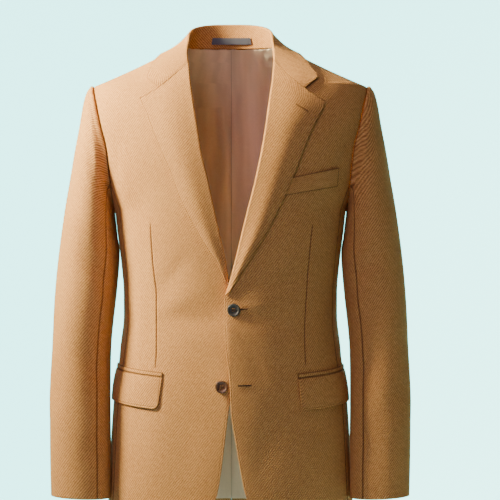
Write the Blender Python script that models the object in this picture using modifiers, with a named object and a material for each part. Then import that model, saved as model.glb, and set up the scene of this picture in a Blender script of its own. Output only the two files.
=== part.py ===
"""A tailored wool jacket, filled out with no wearer inside it.

Hip length, notch lapels, two buttons, a chest welt and two flap pockets.
The origin is at the height of the back neck seam, on the line where the wearer's shoulders hold it.
+X is the wearer's left, -Y the front, +Z up.  Blender works in metres; the tables below are in millimetres.
"""
import math
from collections import namedtuple

import bmesh
import bpy
from mathutils import Vector

MM = 0.001

# ---- driving sizes, millimetres ----
CLOTH = 2.0                 # wool body cloth, with its canvas
LAPEL_CLOTH = 1.6           # facing cloth of the lapels and the collar
LAPEL_CLEARANCE = 0.8       # between the turned cloth and the front it lies over
LINING_CLOTH = 1.0
SEAM = 0.3                  # gap between two pieces at their seam
HEM_Z = -750.0              # the lower edge, below the back neck seam
NECK_Z = 7.2                # where the shoulder seam meets the neck
SHOULDER_TIP_Z = -61.0      # where the shoulder seam meets the armhole
SHOULDER_RUN = 2.036        # sideways run of the shoulder for each unit of drop
SHOULDER_INSET = 93.0       # half width of the straight shoulder ridge at z = 0
SHOULDER_SAG = 6.0          # how far the ridge curves in between neck and shoulder tip
BODY_CENTRE_Y = 5.0         # the plane through the shoulder seams
ROUNDNESS = 2.3             # exponent of the body's oval sections

ARMHOLE_LOW_Z = -258.0
ARMHOLE_HALF_DEPTH = 68.0
FRONT_SIDE_SEAM = math.radians(70)
BACK_SIDE_SEAM = math.radians(116)

OVERLAP_LIFT = 5.6          # how far the over front stands off the under front at the closure
LAPEL_HOOK = 11.0           # how far the lapel turns in behind the roll line
LAPEL_END_HOOK = 4.6        # the same at the lapel's lower end
COLLAR_HOOK = 6.6           # the same for the collar's front ends
LAPEL_EDGE_LIFT = 4.2       # height of the lapel's outer face over the chest at its free edge
LAPEL_BELLY = 3.0           # extra height of the lapel between roll and edge
FOLD_RADIUS = CLOTH / 2 + LAPEL_CLEARANCE + LAPEL_CLOTH     # of the turned cloth round the roll line

BUTTON_HEIGHT = 4.0
BUTTON_HOLE_RADIUS = 1.1
BUTTON_HOLE_SPREAD = 2.2

# ---- the body's sections, from the hem up ----
Level = namedtuple("Level", "z half_width front_depth back_depth")
BODY_LEVELS = (
    Level(HEM_Z, 197.0, 137, 138),
    Level(-680, 193.5, 137, 136),
    Level(-600, 189.5, 136, 131),
    Level(-540, 184.5, 134, 125),
    Level(-480, 175.5, 131, 116),
    Level(-430, 170.5, 129, 111),
    Level(-390, 171.0, 130, 111),
    Level(-340, 175.0, 133, 114),
    Level(-290, 181.0, 136, 118),
    Level(-234, 187.0, 138, 122),
    Level(-190, 191.0, 138, 123),
    Level(-160, 194.5, 136, 122),
    Level(-127, 203.0, 131, 120),
    Level(-90, 211.5, 119, 114),
    Level(-61, 217.2, 103, 103),
    Level(-40, 217.2, 84, 90),
    Level(-20, 217.2, 64, 75),
    Level(0, 217.2, 44, 58),
    Level(9, 217.2, 32, 48),
)

# Rows of cloth from the hem up, closer together where the outline turns.
LOWER_LEVELS = (HEM_Z, -700, -645, -590, -535, -480, -430, -380, -330, -290)
FRONT_UPPER_LEVELS = (-258, -219, -190, -160, -128, -98, -77, -61, -44, -28, -12, 0, NECK_Z)
BACK_UPPER_LEVELS = (-258, -232, -207, -184, -160, -128, -98, -77, -61, -44, -28, -12, 0, NECK_Z)
HEM_CORNER_LEVELS = (-744, -733, -718)
BACK_COLUMNS = 7

# ---- front edges below the lapels: x of the edge at each height ----
Edge = namedtuple("Edge", "z x")
OVER_EDGE = (
    Edge(HEM_Z, 88), Edge(-746, 68), Edge(-738, 50), Edge(-722, 35), Edge(-700, 25),
    Edge(-670, 18), Edge(-620, 9.5), Edge(-570, 2.0), Edge(-520, -0.6), Edge(-470, -6.8),
    Edge(-425, -9.1), Edge(-398, -8.2),
)
UNDER_EDGE = (
    Edge(HEM_Z, 84), Edge(-746, 64), Edge(-738, 46), Edge(-722, 31), Edge(-700, 20),
    Edge(-670, 14.0), Edge(-620, 7.5), Edge(-570, 1.5), Edge(-520, -6.0), Edge(-470, -12.0),
    Edge(-425, -14.0), Edge(-398, -8.0), Edge(-376, 1.5),
)

# ---- lapels: a row for each station up the roll line, from the closure to the gorge ----
# roll_x, roll_z: the fold as seen from the front; edge_x, edge_z: the free edge beside it.
LapelRow = namedtuple("LapelRow", "roll_x roll_z edge_x edge_z")
LEFT_LAPEL = (
    LapelRow(-6.9, -391, -1.9, -387),
    LapelRow(-1.5, -374, 11.5, -365),
    LapelRow(8.2, -337, 37.0, -325),
    LapelRow(16.5, -302, 62.0, -282),
    LapelRow(27.0, -260, 83.0, -239),
    LapelRow(37.5, -219, 98.5, -203),
    LapelRow(46.5, -178, 111.5, -169),
    LapelRow(54.0, -135, 124.5, -137),
    LapelRow(60.5, -88, 137.0, -113),
    LapelRow(65.2, -55, 143.6, -101.5),
    LapelRow(68.0, -24, 146.6, -91),
)
RIGHT_LAPEL = (
    LapelRow(1.2, -372, 6.4, -368.8),
    LapelRow(3.5, -353, 17.0, -345),
    LapelRow(7.5, -328, 35.0, -319),
    LapelRow(14.5, -299, 57.0, -281),
    LapelRow(23.5, -257, 78.0, -239),
    LapelRow(33.0, -213, 93.0, -197),
    LapelRow(42.0, -175, 106.0, -169),
    LapelRow(49.0, -132, 118.5, -139),
    LapelRow(55.5, -93, 129.5, -110),
    LapelRow(60.8, -58, 136.2, -97),
    LapelRow(64.5, -27, 139.7, -87),
)
GORGE_SAG = 7.5             # how far the lapel's top edge hangs below a straight line
NOTCH_SHARE = 0.59          # the gorge seam is this share of the lapel's top edge
BREAK_STEP = 4.0            # height in which the front's edge comes out from under the lapel's end
ROLL_INSET = 4.0            # the front's own edge lies this far inside the visible fold

# ---- sleeves: outer and inner ends of each oval section, seen from the front ----
SleeveRing = namedtuple("SleeveRing", "outer_x outer_z inner_x inner_z centre_y half_depth")
SLEEVE_RINGS = (
    SleeveRing(217.2, -61, 185.2, -258, 5, 68.0),
    SleeveRing(223.5, -61.5, 185.4, -261, 5, 68.5),
    SleeveRing(230.0, -70, 185.0, -265, 4, 70.0),
    SleeveRing(235.5, -90, 184.4, -270, 3, 71.5),
    SleeveRing(241.0, -123, 183.4, -277, 2, 72.5),
    SleeveRing(249.0, -164, 182.0, -287, 0, 73.0),
    SleeveRing(256.5, -212, 180.0, -303, -3, 72.0),
    SleeveRing(266.0, -272, 176.6, -330, -7, 69.0),
    SleeveRing(276.0, -356, 180.4, -385, -13, 64.0),
    SleeveRing(282.5, -459, 188.6, -470, -23, 58.0),
    SleeveRing(285.0, -550, 189.4, -555, -32, 53.0),
    SleeveRing(284.5, -635, 188.4, -638, -39, 49.0),
    SleeveRing(282.5, -708, 188.8, -712, -44, 45.5),
)
UPPER_SLEEVE = (math.radians(-118), math.radians(128))
UNDER_SLEEVE = (math.radians(128), math.radians(242))

# Soft folds across the sleeve: place along it, place round it, depth, and half widths.
SleeveFold = namedtuple("SleeveFold", "along around depth length width")
SLEEVE_FOLDS = (
    SleeveFold(7.6, 95, 2.6, 0.45, 55),
    SleeveFold(8.6, 60, -2.0, 0.55, 60),
    SleeveFold(9.3, 110, 2.4, 0.35, 45),
    SleeveFold(10.3, 40, -1.8, 0.50, 55),
)

# ---- the collar: a row for each station from the notch to the centre back ----
# fold: the top edge; seat: the lower edge of the stand; edge: the free edge of the fall; belly: how far
# the fall swells out between fold and edge, less than nothing where it curves in.
CollarRow = namedtuple("CollarRow", "fold_x fold_y fold_z seat_x seat_y seat_z edge_angle edge_z edge_lift belly")
COLLAR_ROWS = (
    CollarRow(68.0, -57.5, -24.0, 72.0, -50.0, -22.0, 40.6, -53.5, 4.2, 0.0),
    CollarRow(67.8, -40.0, -6.0, 71.3, -35.0, -9.0, 51.6, -32.5, 4.2, -1.0),
    CollarRow(67.2, -18.0, 12.0, 73.0, -16.0, 2.6, 70.6, -15.0, 3.9, -1.7),
    CollarRow(66.0, 6.0, 27.0, 75.0, 6.4, 4.4, 93.0, -8.5, 3.7, -1.7),
    CollarRow(57.0, 30.0, 37.5, 65.4, 31.0, 4.9, 120.0, -7.0, 3.2, -1.2),
    CollarRow(35.0, 46.5, 43.5, 39.6, 45.4, 5.0, 146.0, -6.0, 3.4, 1.0),
    CollarRow(0.0, 53.5, 45.0, 0.0, 50.3, 5.0, 180.0, -6.0, 3.6, 2.0),
)
LEFT_COLLAR_TIP = (137.6, -53.5)
RIGHT_COLLAR_TIP = (129.6, -55.4)
HOOK_SHARE = 0.10           # shares of a lapel's or collar's columns: hook, then roll, then the rest
ROLL_SHARE = 0.36
STAND_SHARE = 0.18          # share of the collar's columns that make the stand
COLLAR_NOTCH_TURN = 0.78    # where the collar's front end leaves the gorge seam at the notch
COLLAR_FOLD_HALF = 2.6      # half the distance between stand and fall at the fold
COLLAR_CHEST_BELLY = 0.8    # extra height of the collar where it lies on the chest
COLLAR_END_SHARE = 0.2      # share of the half collar whose line bends to meet the gorge seam
COLLAR_LIES_FLAT = 0.06     # share of the half collar, from the notch, that lies on the chest
COLLAR_STANDS_UP = 0.42     # share from which it stands up round the neck

# The fronts' own neck edge beside the collar.
NECK_EDGE = (Edge(-24, 72.0), Edge(-10, 75.2), Edge(0, 77.0), Edge(NECK_Z, 77.4))

# ---- pockets ----
Flap = namedtuple("Flap", "front_x front_x_low rear_angle top_z height")      # top_z is the front end's
LEFT_FLAP = Flap(104.6, 110.5, math.radians(84), -520, 50)
RIGHT_FLAP = Flap(103.7, 111.0, math.radians(84), -518, 50)
FLAP_RISE = 10.0            # how much higher the flap's rear end sits than its front end
POCKET_CLEARANCE = 0.7      # the pocket pieces follow the front's curve this far out
FLAP_CLOTH = 2.0
FLAP_FLARE = 1.6            # how far the flap's lower edge stands off the front
FLAP_CORNER = 9.0
FLAP_LENGTH = 140.0
JET_HEIGHT = 7.0
JET_CLOTH = 1.2
WELT_LOW_INNER = (80.0, -239.0)
WELT_HIGH_INNER = (90.0, -211.0)
WELT_LOW_OUTER = (167.0, -222.7)
WELT_HIGH_OUTER = (169.2, -193.1)
WELT_CLOTH = 1.6

# ---- small pieces ----
TOP_BUTTON_PLACE = (6.0, -413.5)        # on the over front
LOW_BUTTON_PLACE = (12.2, -532.0)       # on the under front
BUTTON_PROFILE = ((0, 2.5), (5.6, 2.5), (7.3, 3.3), (8.5, 4.0), (9.5, 3.5), (10.0, 2.4),
                  (9.4, 1.0), (7.5, 0.3), (0, 0.0))
LOOP_START = 0.4285                     # ends of the hanger loop along the collar
LOOP_END = 0.566
LOOP_LOW_Z = 11.5
LOOP_HEIGHT = 11.0
LOOP_RIBBON = 1.0
LOOP_CLEARANCE = 0.9
LOOP_BOW = 1.8

LINING_RISE = 14.0                      # the lining ends this far above the hem
LINING_TOP_Z = 4.7                      # it meets the collar's stand here
LINING_LEVELS = (HEM_Z + LINING_RISE,) + LOWER_LEVELS[1:] + BACK_UPPER_LEVELS[:-1] + (LINING_TOP_Z,)
LINING_CLEARANCE = 0.6
PLEAT_UNDERLAP = 11.0                   # how far the right half runs on below the left one

# ---- materials: colour, roughness, metallic ----
CAMEL_WOOL = ("wool_camel", (0.46, 0.27, 0.14), 0.95)
TAN_SATIN = ("lining_satin", (0.40, 0.27, 0.17), 0.45)
DARK_HORN = ("button_dark", (0.035, 0.026, 0.018), 0.35)
BROWN_HORN = ("button_brown", (0.10, 0.042, 0.018), 0.30)
DARK_RIBBON = ("loop_ribbon", (0.055, 0.05, 0.055), 0.45)


# ---- small tools ----
def read_table(rows, key, value, at):
    """Value of one column at a place along another, on a smooth curve through the rows."""
    keys = [getattr(row, key) for row in rows]
    last = len(rows) - 1
    if at <= keys[0]:
        return getattr(rows[0], value)
    if at >= keys[last]:
        return getattr(rows[last], value)
    index = max(i for i in range(last) if keys[i] <= at)
    span = keys[index + 1] - keys[index]
    share = (at - keys[index]) / span
    low = getattr(rows[index], value)
    high = getattr(rows[index + 1], value)
    rise = high - low

    def slope(i):
        if i == 0 or i == last:
            return rise / span
        before = (getattr(rows[i], value) - getattr(rows[i - 1], value)) / (keys[i] - keys[i - 1])
        after = (getattr(rows[i + 1], value) - getattr(rows[i], value)) / (keys[i + 1] - keys[i])
        if before * after <= 0:
            return 0.0
        return 2 * before * after / (before + after)

    start = slope(index) * span
    end = slope(index + 1) * span
    return (low + start * share + (3 * rise - 2 * start - end) * share ** 2
            + (start + end - 2 * rise) * share ** 3)


def read_rows(rows, value, at):
    """Value of one column at a place counted in rows, on a smooth curve through all of them."""
    last = len(rows) - 1
    at = min(max(at, 0.0), float(last))
    index = min(int(at), last - 1)
    share = at - index
    points = [getattr(rows[min(max(index + k, 0), last)], value) for k in (-1, 0, 1, 2)]
    start = (points[2] - points[0]) / 2
    end = (points[3] - points[1]) / 2
    rise = points[2] - points[1]
    return (points[1] + start * share + (3 * rise - 2 * start - end) * share ** 2
            + (start + end - 2 * rise) * share ** 3)


def blend(low, high, share):
    return low + (high - low) * share


def smooth_step(low, high, at):
    share = min(max((at - low) / (high - low), 0.0), 1.0)
    return share * share * (3 - 2 * share)


def bump(distance):
    """A soft hill: 1 at the middle, 0 from distance 1 outwards."""
    return (1 - distance * distance) ** 2 if abs(distance) < 1 else 0.0


# ---- the body's surface ----
def shoulder_half_width(z):
    share = (z - SHOULDER_TIP_Z) / (NECK_Z - SHOULDER_TIP_Z)
    return SHOULDER_INSET - SHOULDER_RUN * z - SHOULDER_SAG * 4 * share * (1 - share)


def armhole_reach(z):
    """How far the armhole stands in front of, or behind, the shoulder seam's plane at this height."""
    centre = (SHOULDER_TIP_Z + ARMHOLE_LOW_Z) / 2
    half_height = (SHOULDER_TIP_Z - ARMHOLE_LOW_Z) / 2
    inside = 1 - ((z - centre) / half_height) ** 2
    return ARMHOLE_HALF_DEPTH * math.sqrt(inside) if inside > 0 else 0.0


def section(z, is_front):
    """Half width and depth of the body's oval at this height."""
    depth = read_table(BODY_LEVELS, "z", "front_depth" if is_front else "back_depth", z)
    if z >= SHOULDER_TIP_Z:
        return shoulder_half_width(z), depth
    edge = read_table(BODY_LEVELS, "z", "half_width", z)
    cut = (armhole_reach(z) / depth) ** ROUNDNESS
    return edge / (1 - cut) ** (1 / ROUNDNESS), depth


def body_point(angle, z, side):
    """Outer face of the body: angle 0 is the centre front, 90 degrees the side, 180 the centre back."""
    half_width, depth = section(z, angle <= math.pi / 2)
    x = half_width * abs(math.sin(angle)) ** (2 / ROUNDNESS) * (1 if math.sin(angle) >= 0 else -1)
    y = depth * abs(math.cos(angle)) ** (2 / ROUNDNESS) * (-1 if math.cos(angle) > 0 else 1)
    return Vector((side * x, BODY_CENTRE_Y + y, z))


def body_normal(angle, z, side):
    """Outward direction of the body's surface."""
    turn = 0.01
    rise = 1.5
    around = body_point(angle + turn, z, side) - body_point(angle - turn, z, side)
    upward = body_point(angle, z + rise, side) - body_point(angle, z - rise, side)
    return (around.cross(upward) * side).normalized()


def body_offset(angle, z, side, out):
    return body_point(angle, z, side) + body_normal(angle, z, side) * out


def angle_at(x, z, is_front=True):
    """Angle on the body's oval that lies at this distance from the centre line."""
    half_width, _ = section(z, is_front)
    share = min(abs(x) / half_width, 1.0)
    angle = math.asin(share ** (ROUNDNESS / 2))
    if x < 0:
        angle = -angle
    return angle if is_front else math.pi - angle


def armhole_angle(z, is_front):
    """Angle where a panel of the body meets the armhole at this height."""
    _, depth = section(z, is_front)
    angle = math.acos(min((armhole_reach(z) / depth) ** (ROUNDNESS / 2), 1.0))
    return angle if is_front else math.pi - angle


def overlap_lift(x, z):
    """The over front stands off the under front round the closure, and less towards the hem."""
    height = OVERLAP_LIFT * (1 - smooth_step(-345, -250, z)) * blend(0.35, 1.0, smooth_step(-720, -460, z))
    return height * (1 - smooth_step(25, 125, x))


def front_offset(x, z, side, out):
    """A point over a front panel, seen from the front at x and z, and moved out from its outer face."""
    lift = overlap_lift(x, z) if side > 0 else 0.0
    return body_offset(angle_at(x, z), z, side, out + lift)


def panel_offset(angle, z, side, out):
    """A point over a front or side panel at an angle round the body, moved out from its outer face."""
    x = abs(body_point(angle, z, 1).x) * (1 if angle > 0 else -1)
    lift = overlap_lift(x, z) if side > 0 else 0.0
    return body_offset(angle, z, side, out + lift)


# ---- making solids ----
def finish_object(name, mesh, finish):
    """One named object with its own material, in the jacket's collection."""
    mesh.shade_smooth()
    mesh.set_sharp_from_angle(angle=math.radians(50))
    piece = bpy.data.objects.new(name, mesh)
    piece.parent = mount_empty
    jacket_parts.objects.link(piece)
    colour_name, colour, roughness = finish
    material = bpy.data.materials.new(name + "_" + colour_name)
    material.use_nodes = True
    shader = material.node_tree.nodes["Principled BSDF"]
    shader.inputs["Base Color"].default_value = (*colour, 1.0)
    shader.inputs["Roughness"].default_value = roughness
    shader.inputs["Metallic"].default_value = 0.0
    mesh.materials.append(material)
    return piece


def cloth_wall(name, across, up, place, finish):
    """A wall of cloth: a flat thin slab of squares, each point then put in place.

    place(u, v, depth) gives the point in millimetres: u runs across, v up,
    and depth is 0 on the outer face and 1 on the inner one.
    """
    sheet = bmesh.new()
    bmesh.ops.create_grid(sheet, x_segments=across, y_segments=up, size=0.5)
    bmesh.ops.solidify(sheet, geom=sheet.faces[:], thickness=0.1)
    middle = (min(vert.co.z for vert in sheet.verts) + max(vert.co.z for vert in sheet.verts)) / 2
    for vert in sheet.verts:
        depth = 0 if vert.co.z > middle else 1
        vert.co = Vector(place(vert.co.x + 0.5, vert.co.y + 0.5, depth)) * MM
    bmesh.ops.recalc_face_normals(sheet, faces=sheet.faces[:])
    if sheet.calc_volume(signed=True) < 0:
        bmesh.ops.reverse_faces(sheet, faces=sheet.faces[:])
    mesh = bpy.data.meshes.new(name)
    sheet.to_mesh(mesh)
    sheet.free()
    return finish_object(name, mesh, finish)


def surface_normal(surface, u, v):
    """Direction square to a surface, from two short steps along it."""
    step = 0.004
    across = surface(min(u + step, 1), v) - surface(max(u - step, 0), v)
    upward = surface(u, min(v + step, 1)) - surface(u, max(v - step, 0))
    return across.cross(upward).normalized()


def thick(surface, thickness, direction):
    """The place function of a wall whose outer face is the surface."""
    def place(u, v, depth):
        here = surface(u, v)
        if depth:
            here = here + surface_normal(surface, u, v) * thickness * direction
        return here
    return place


def row_place(levels, v):
    """Height of a row of cloth: v is 0 at the lowest and 1 at the highest."""
    place = v * (len(levels) - 1)
    index = min(int(place), len(levels) - 2)
    return blend(levels[index], levels[index + 1], place - index)


def seam_turn(angle, z, side):
    """The turn that moves a panel's edge back by half a seam."""
    step = 0.01
    reach = (body_point(angle + step, z, side) - body_point(angle - step, z, side)).length
    return SEAM / 2 / (reach / (2 * step))


# ---- fronts, sides and backs ----
def front_edge_x(z, edges, lapel):
    """Distance of a front's own edge from the centre line."""
    break_z = lapel[0].roll_z
    if z < break_z - BREAK_STEP / 2:
        return read_table(edges, "z", "x", z)
    if z < lapel[-1].roll_z:
        return read_table(lapel, "roll_z", "roll_x", z) + ROLL_INSET
    return read_table(NECK_EDGE, "z", "x", z)


def outer_angle(z, is_front):
    """Angle of a front's or back's outer edge: side seam, then armhole, then shoulder seam."""
    if z >= SHOULDER_TIP_Z:
        return math.pi / 2
    seam = FRONT_SIDE_SEAM if is_front else BACK_SIDE_SEAM
    middle = (SHOULDER_TIP_Z + ARMHOLE_LOW_Z) / 2
    arm = armhole_angle(z, is_front)
    if z > middle:
        return arm
    return min(arm, seam) if is_front else max(arm, seam)


def make_front(name, side, edges, lapel):
    break_z = lapel[0].roll_z
    levels = sorted(LOWER_LEVELS + FRONT_UPPER_LEVELS + HEM_CORNER_LEVELS + (break_z - BREAK_STEP, break_z))

    def place(u, v, depth):
        z = row_place(levels, v)
        inner = angle_at(front_edge_x(z, edges, lapel), z)
        outer = outer_angle(z, True)
        outer -= seam_turn(outer, z, side)
        return panel_offset(blend(inner, outer, u), z, side, -depth * CLOTH)

    return cloth_wall(name, 9, len(levels) - 1, place, CAMEL_WOOL)


def side_panel_top(angle):
    """Height where the side body meets the underarm."""
    _, depth = section(-240, angle <= math.pi / 2)
    reach = min(depth * abs(math.cos(angle)) ** (2 / ROUNDNESS), ARMHOLE_HALF_DEPTH)
    centre = (SHOULDER_TIP_Z + ARMHOLE_LOW_Z) / 2
    half_height = (SHOULDER_TIP_Z - ARMHOLE_LOW_Z) / 2
    return centre - half_height * math.sqrt(1 - (reach / ARMHOLE_HALF_DEPTH) ** 2)


def make_side(name, side):
    def place(u, v, depth):
        angle = blend(FRONT_SIDE_SEAM, BACK_SIDE_SEAM, u)
        top = side_panel_top(angle) - SEAM
        z = row_place(LOWER_LEVELS + ((LOWER_LEVELS[-1] + top) / 2, top), v)
        angle += seam_turn(angle, z, side) * (1 - 2 * u)
        return body_offset(angle, z, side, -depth * CLOTH)

    return cloth_wall(name, 4, len(LOWER_LEVELS) + 1, place, CAMEL_WOOL)


def make_back(name, side):
    levels = LOWER_LEVELS + BACK_UPPER_LEVELS

    def place(u, v, depth):
        z = row_place(levels, v)
        outer = outer_angle(z, False)
        outer += seam_turn(outer, z, side)
        centre = angle_at(SEAM / 2, z, False)
        return body_offset(blend(outer, centre, u), z, side, -depth * CLOTH)

    return cloth_wall(name, BACK_COLUMNS, len(levels) - 1, place, CAMEL_WOOL)


# ---- lapels ----
def fold_section(across, width, hook, belly):
    """Place along the panel and height over it, for one line round the roll and out to the edge."""
    upper = LAPEL_CLEARANCE + LAPEL_CLOTH
    middle = upper - FOLD_RADIUS
    if across < HOOK_SHARE:
        return blend(hook, FOLD_RADIUS, across / HOOK_SHARE), middle - FOLD_RADIUS
    if across < ROLL_SHARE:
        turn = math.pi * (across - HOOK_SHARE) / (ROLL_SHARE - HOOK_SHARE)
        return FOLD_RADIUS * (1 - math.sin(turn)), middle - FOLD_RADIUS * math.cos(turn)
    share = (across - ROLL_SHARE) / (1 - ROLL_SHARE)
    reach = max(width, FOLD_RADIUS + 0.5)
    swell = belly * math.sin(math.pi * share) ** 1.5 * smooth_step(3, 40, width)
    return blend(FOLD_RADIUS, reach, share), blend(upper, LAPEL_EDGE_LIFT, share) + swell


def gorge_line(lapel):
    """The lapel's top edge, seen from the front: where it starts at the roll, its direction and its length."""
    top = lapel[-1]
    start = Vector((top.roll_x, top.roll_z))
    run = Vector((top.edge_x, top.edge_z)) - start
    return start, run.normalized(), run.length


def gorge_sag(share):
    """How far the lapel's top edge hangs below a straight line, by the share of the way from roll to tip."""
    return GORGE_SAG * math.sin(math.pi * share ** 0.9)


def make_lapel(name, side, rows):
    last = len(rows) - 1

    def surface(u, v):
        at = blend(v, 1 - (1 - v) ** 2, 0.25) * last
        roll_z = read_rows(rows, "roll_z", at)
        roll = Vector((read_table(rows, "roll_z", "roll_x", roll_z), roll_z))
        edge = Vector((read_rows(rows, "edge_x", at), read_rows(rows, "edge_z", at)))
        run = edge - roll
        hook = blend(LAPEL_END_HOOK, LAPEL_HOOK, smooth_step(0.0, 0.2, v))
        near_gorge = smooth_step(0.7, 1.0, v)
        along, height = fold_section(u, run.length, hook, blend(LAPEL_BELLY, COLLAR_CHEST_BELLY, near_gorge))
        place = roll + run.normalized() * along
        if u > ROLL_SHARE:
            place.y -= gorge_sag((u - ROLL_SHARE) / (1 - ROLL_SHARE)) * near_gorge
        return front_offset(place.x, place.y - SEAM * v, side, height)

    return cloth_wall(name, 14, 18, thick(surface, LAPEL_CLOTH, -side), CAMEL_WOOL)


# ---- collar ----
def collar_end(lapel, tip, across, along):
    """The collar's front end, seen from the front: up the gorge seam to the notch, then on to the tip."""
    start, direction, length = gorge_line(lapel)
    if across <= ROLL_SHARE:
        return start + direction * along
    reach = (across - ROLL_SHARE) / (1 - ROLL_SHARE)
    share = NOTCH_SHARE * min(reach / COLLAR_NOTCH_TURN, 1)
    place = start + direction * blend(FOLD_RADIUS, length, share)
    place.y -= gorge_sag(share)
    return place.lerp(tip, max(reach - COLLAR_NOTCH_TURN, 0) / (1 - COLLAR_NOTCH_TURN))


def collar_on_chest(across, share, read, side):
    """The collar where it lies turned over the front, like a lapel."""
    lapel = LEFT_LAPEL if side > 0 else RIGHT_LAPEL
    tip = Vector(LEFT_COLLAR_TIP if side > 0 else RIGHT_COLLAR_TIP)
    near_notch = max(0.0, 1 - share / COLLAR_END_SHARE) ** 2
    fold = Vector((read("fold_x"), min(read("fold_z"), NECK_Z - 4)))
    fold += (gorge_line(lapel)[0] - gorge_line(LEFT_LAPEL)[0]) * near_notch
    edge_z = read("edge_z")
    edge = Vector((body_point(math.radians(min(read("edge_angle"), 88)), edge_z, 1).x, edge_z))
    edge += (tip - Vector(LEFT_COLLAR_TIP)) * near_notch
    run = edge - fold
    along, height = fold_section(across, run.length, COLLAR_HOOK, COLLAR_CHEST_BELLY)
    place = fold + run.normalized() * along
    place = place.lerp(collar_end(lapel, tip, across, along), near_notch)
    return front_offset(place.x, place.y + SEAM * near_notch, side, height)


def collar_round_neck(across, read, side):
    """The collar where its stand rises from the neck seam and its fall turns down over it."""
    fold = Vector((side * read("fold_x"), read("fold_y"), read("fold_z") - COLLAR_FOLD_HALF))
    seat = Vector((side * read("seat_x"), read("seat_y"), read("seat_z")))
    edge = body_offset(math.radians(read("edge_angle")), read("edge_z"), side, read("edge_lift"))
    outward = Vector((edge.x - seat.x, edge.y - seat.y, 0)).normalized()
    if across < STAND_SHARE:
        return seat.lerp(fold - outward * COLLAR_FOLD_HALF, across / STAND_SHARE)
    if across < ROLL_SHARE:
        turn = math.pi * (across - STAND_SHARE) / (ROLL_SHARE - STAND_SHARE)
        rise = Vector((0, 0, COLLAR_FOLD_HALF * math.sin(turn)))
        return fold - outward * COLLAR_FOLD_HALF * math.cos(turn) + rise
    reach = (across - ROLL_SHARE) / (1 - ROLL_SHARE)
    bulge = (outward + Vector((0, 0, 1))) * read("belly") * math.sin(math.pi * reach)
    return (fold + outward * COLLAR_FOLD_HALF).lerp(edge, reach) + bulge


def collar_surface(u, v):
    """The collar's outer face: u from the stand's seat over the fold to the fall's edge, v round the neck."""
    side = 1 if v < 0.5 else -1
    share = 1 - abs(2 * v - 1)

    def read(column):
        return read_rows(COLLAR_ROWS, column, share * (len(COLLAR_ROWS) - 1))

    standing = smooth_step(COLLAR_LIES_FLAT, COLLAR_STANDS_UP, share)
    if standing <= 0:
        return collar_on_chest(u, share, read, side)
    if standing >= 1:
        return collar_round_neck(u, read, side)
    return collar_on_chest(u, share, read, side).lerp(collar_round_neck(u, read, side), standing)


def make_collar():
    return cloth_wall("collar", 14, 24, thick(collar_surface, LAPEL_CLOTH, -1), CAMEL_WOOL)


# ---- sleeves ----
def sleeve_point(angle, along, side):
    """Outer face of a sleeve: angle 0 is its outer side and 90 degrees its front; along counts rings."""
    def read(column):
        return read_rows(SLEEVE_RINGS, column, along)

    share = (1 + math.cos(angle)) / 2
    x = blend(read("inner_x"), read("outer_x"), share)
    z = blend(read("inner_z"), read("outer_z"), share)
    y = read("centre_y") - read("half_depth") * math.sin(angle)
    # The first rings keep the armhole's own bend.
    first = SLEEVE_RINGS[0]
    seam_z = blend(first.inner_z, first.outer_z, share)
    straight = blend(first.inner_x, first.outer_x, share)
    bend = read_table(BODY_LEVELS, "z", "half_width", seam_z) - straight
    x += bend * max(0.0, 1 - along / 3) ** 2 + 1.2 * SEAM
    centre = Vector(((read("inner_x") + read("outer_x")) / 2, read("centre_y"),
                     (read("inner_z") + read("outer_z")) / 2))
    fold = 0.0
    for row in SLEEVE_FOLDS:
        around = (math.degrees(angle) - row.around) / row.width
        slant = (along - row.along - 0.4 * around) / row.length
        fold += row.depth * bump(slant) * bump(around)
    here = Vector((x, y, z))
    here += (here - centre).normalized() * -fold
    return Vector((here.x * side, here.y, here.z))


def make_sleeve_piece(name, side, angles, columns):
    rings = len(SLEEVE_RINGS) - 1
    gap = 0.0025

    def surface(u, v):
        angle = blend(angles[0] + gap, angles[1] - gap, u)
        return sleeve_point(angle, v * rings, side)

    return cloth_wall(name, columns, 18, thick(surface, CLOTH, -side), CAMEL_WOOL)


# ---- pockets ----
def flap_place(flap, share, drop):
    """Angle and height on a flap: share runs to its rear end, drop is measured down from its top."""
    z = flap.top_z + FLAP_RISE * share - drop
    front_x = blend(flap.front_x, flap.front_x_low, drop / flap.height)
    return blend(angle_at(front_x, z), flap.rear_angle, share), z


def make_flap(name, side, flap):
    def place(u, v, depth):
        share = blend(u, (1 - math.cos(math.pi * u)) / 2, 0.6)
        reach = min(share, 1 - share) * FLAP_LENGTH
        rise = 0.0
        if reach < FLAP_CORNER:
            rise = FLAP_CORNER - math.sqrt(FLAP_CORNER ** 2 - (FLAP_CORNER - reach) ** 2)
        angle, z = flap_place(flap, share, (1 - v) * (flap.height - rise))
        out = POCKET_CLEARANCE + FLAP_FLARE * (1 - v) + FLAP_CLOTH * (1 - depth)
        return panel_offset(angle, z, side, out)

    return cloth_wall(name, 12, 4, place, CAMEL_WOOL)


def make_jet(name, side, flap):
    def place(u, v, depth):
        angle, z = flap_place(flap, u, 0)
        out = POCKET_CLEARANCE + JET_CLOTH * (1 - depth)
        return panel_offset(angle, z + SEAM + JET_HEIGHT * v, side, out)

    return cloth_wall(name, 12, 1, place, CAMEL_WOOL)


def make_welt():
    def place(u, v, depth):
        low = Vector(WELT_LOW_INNER).lerp(Vector(WELT_LOW_OUTER), u)
        high = Vector(WELT_HIGH_INNER).lerp(Vector(WELT_HIGH_OUTER), u)
        here = low.lerp(high, v)
        return front_offset(here.x, here.y, 1, SEAM + WELT_CLOTH * (1 - depth))

    return cloth_wall("chest_welt", 7, 3, place, CAMEL_WOOL)


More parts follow.
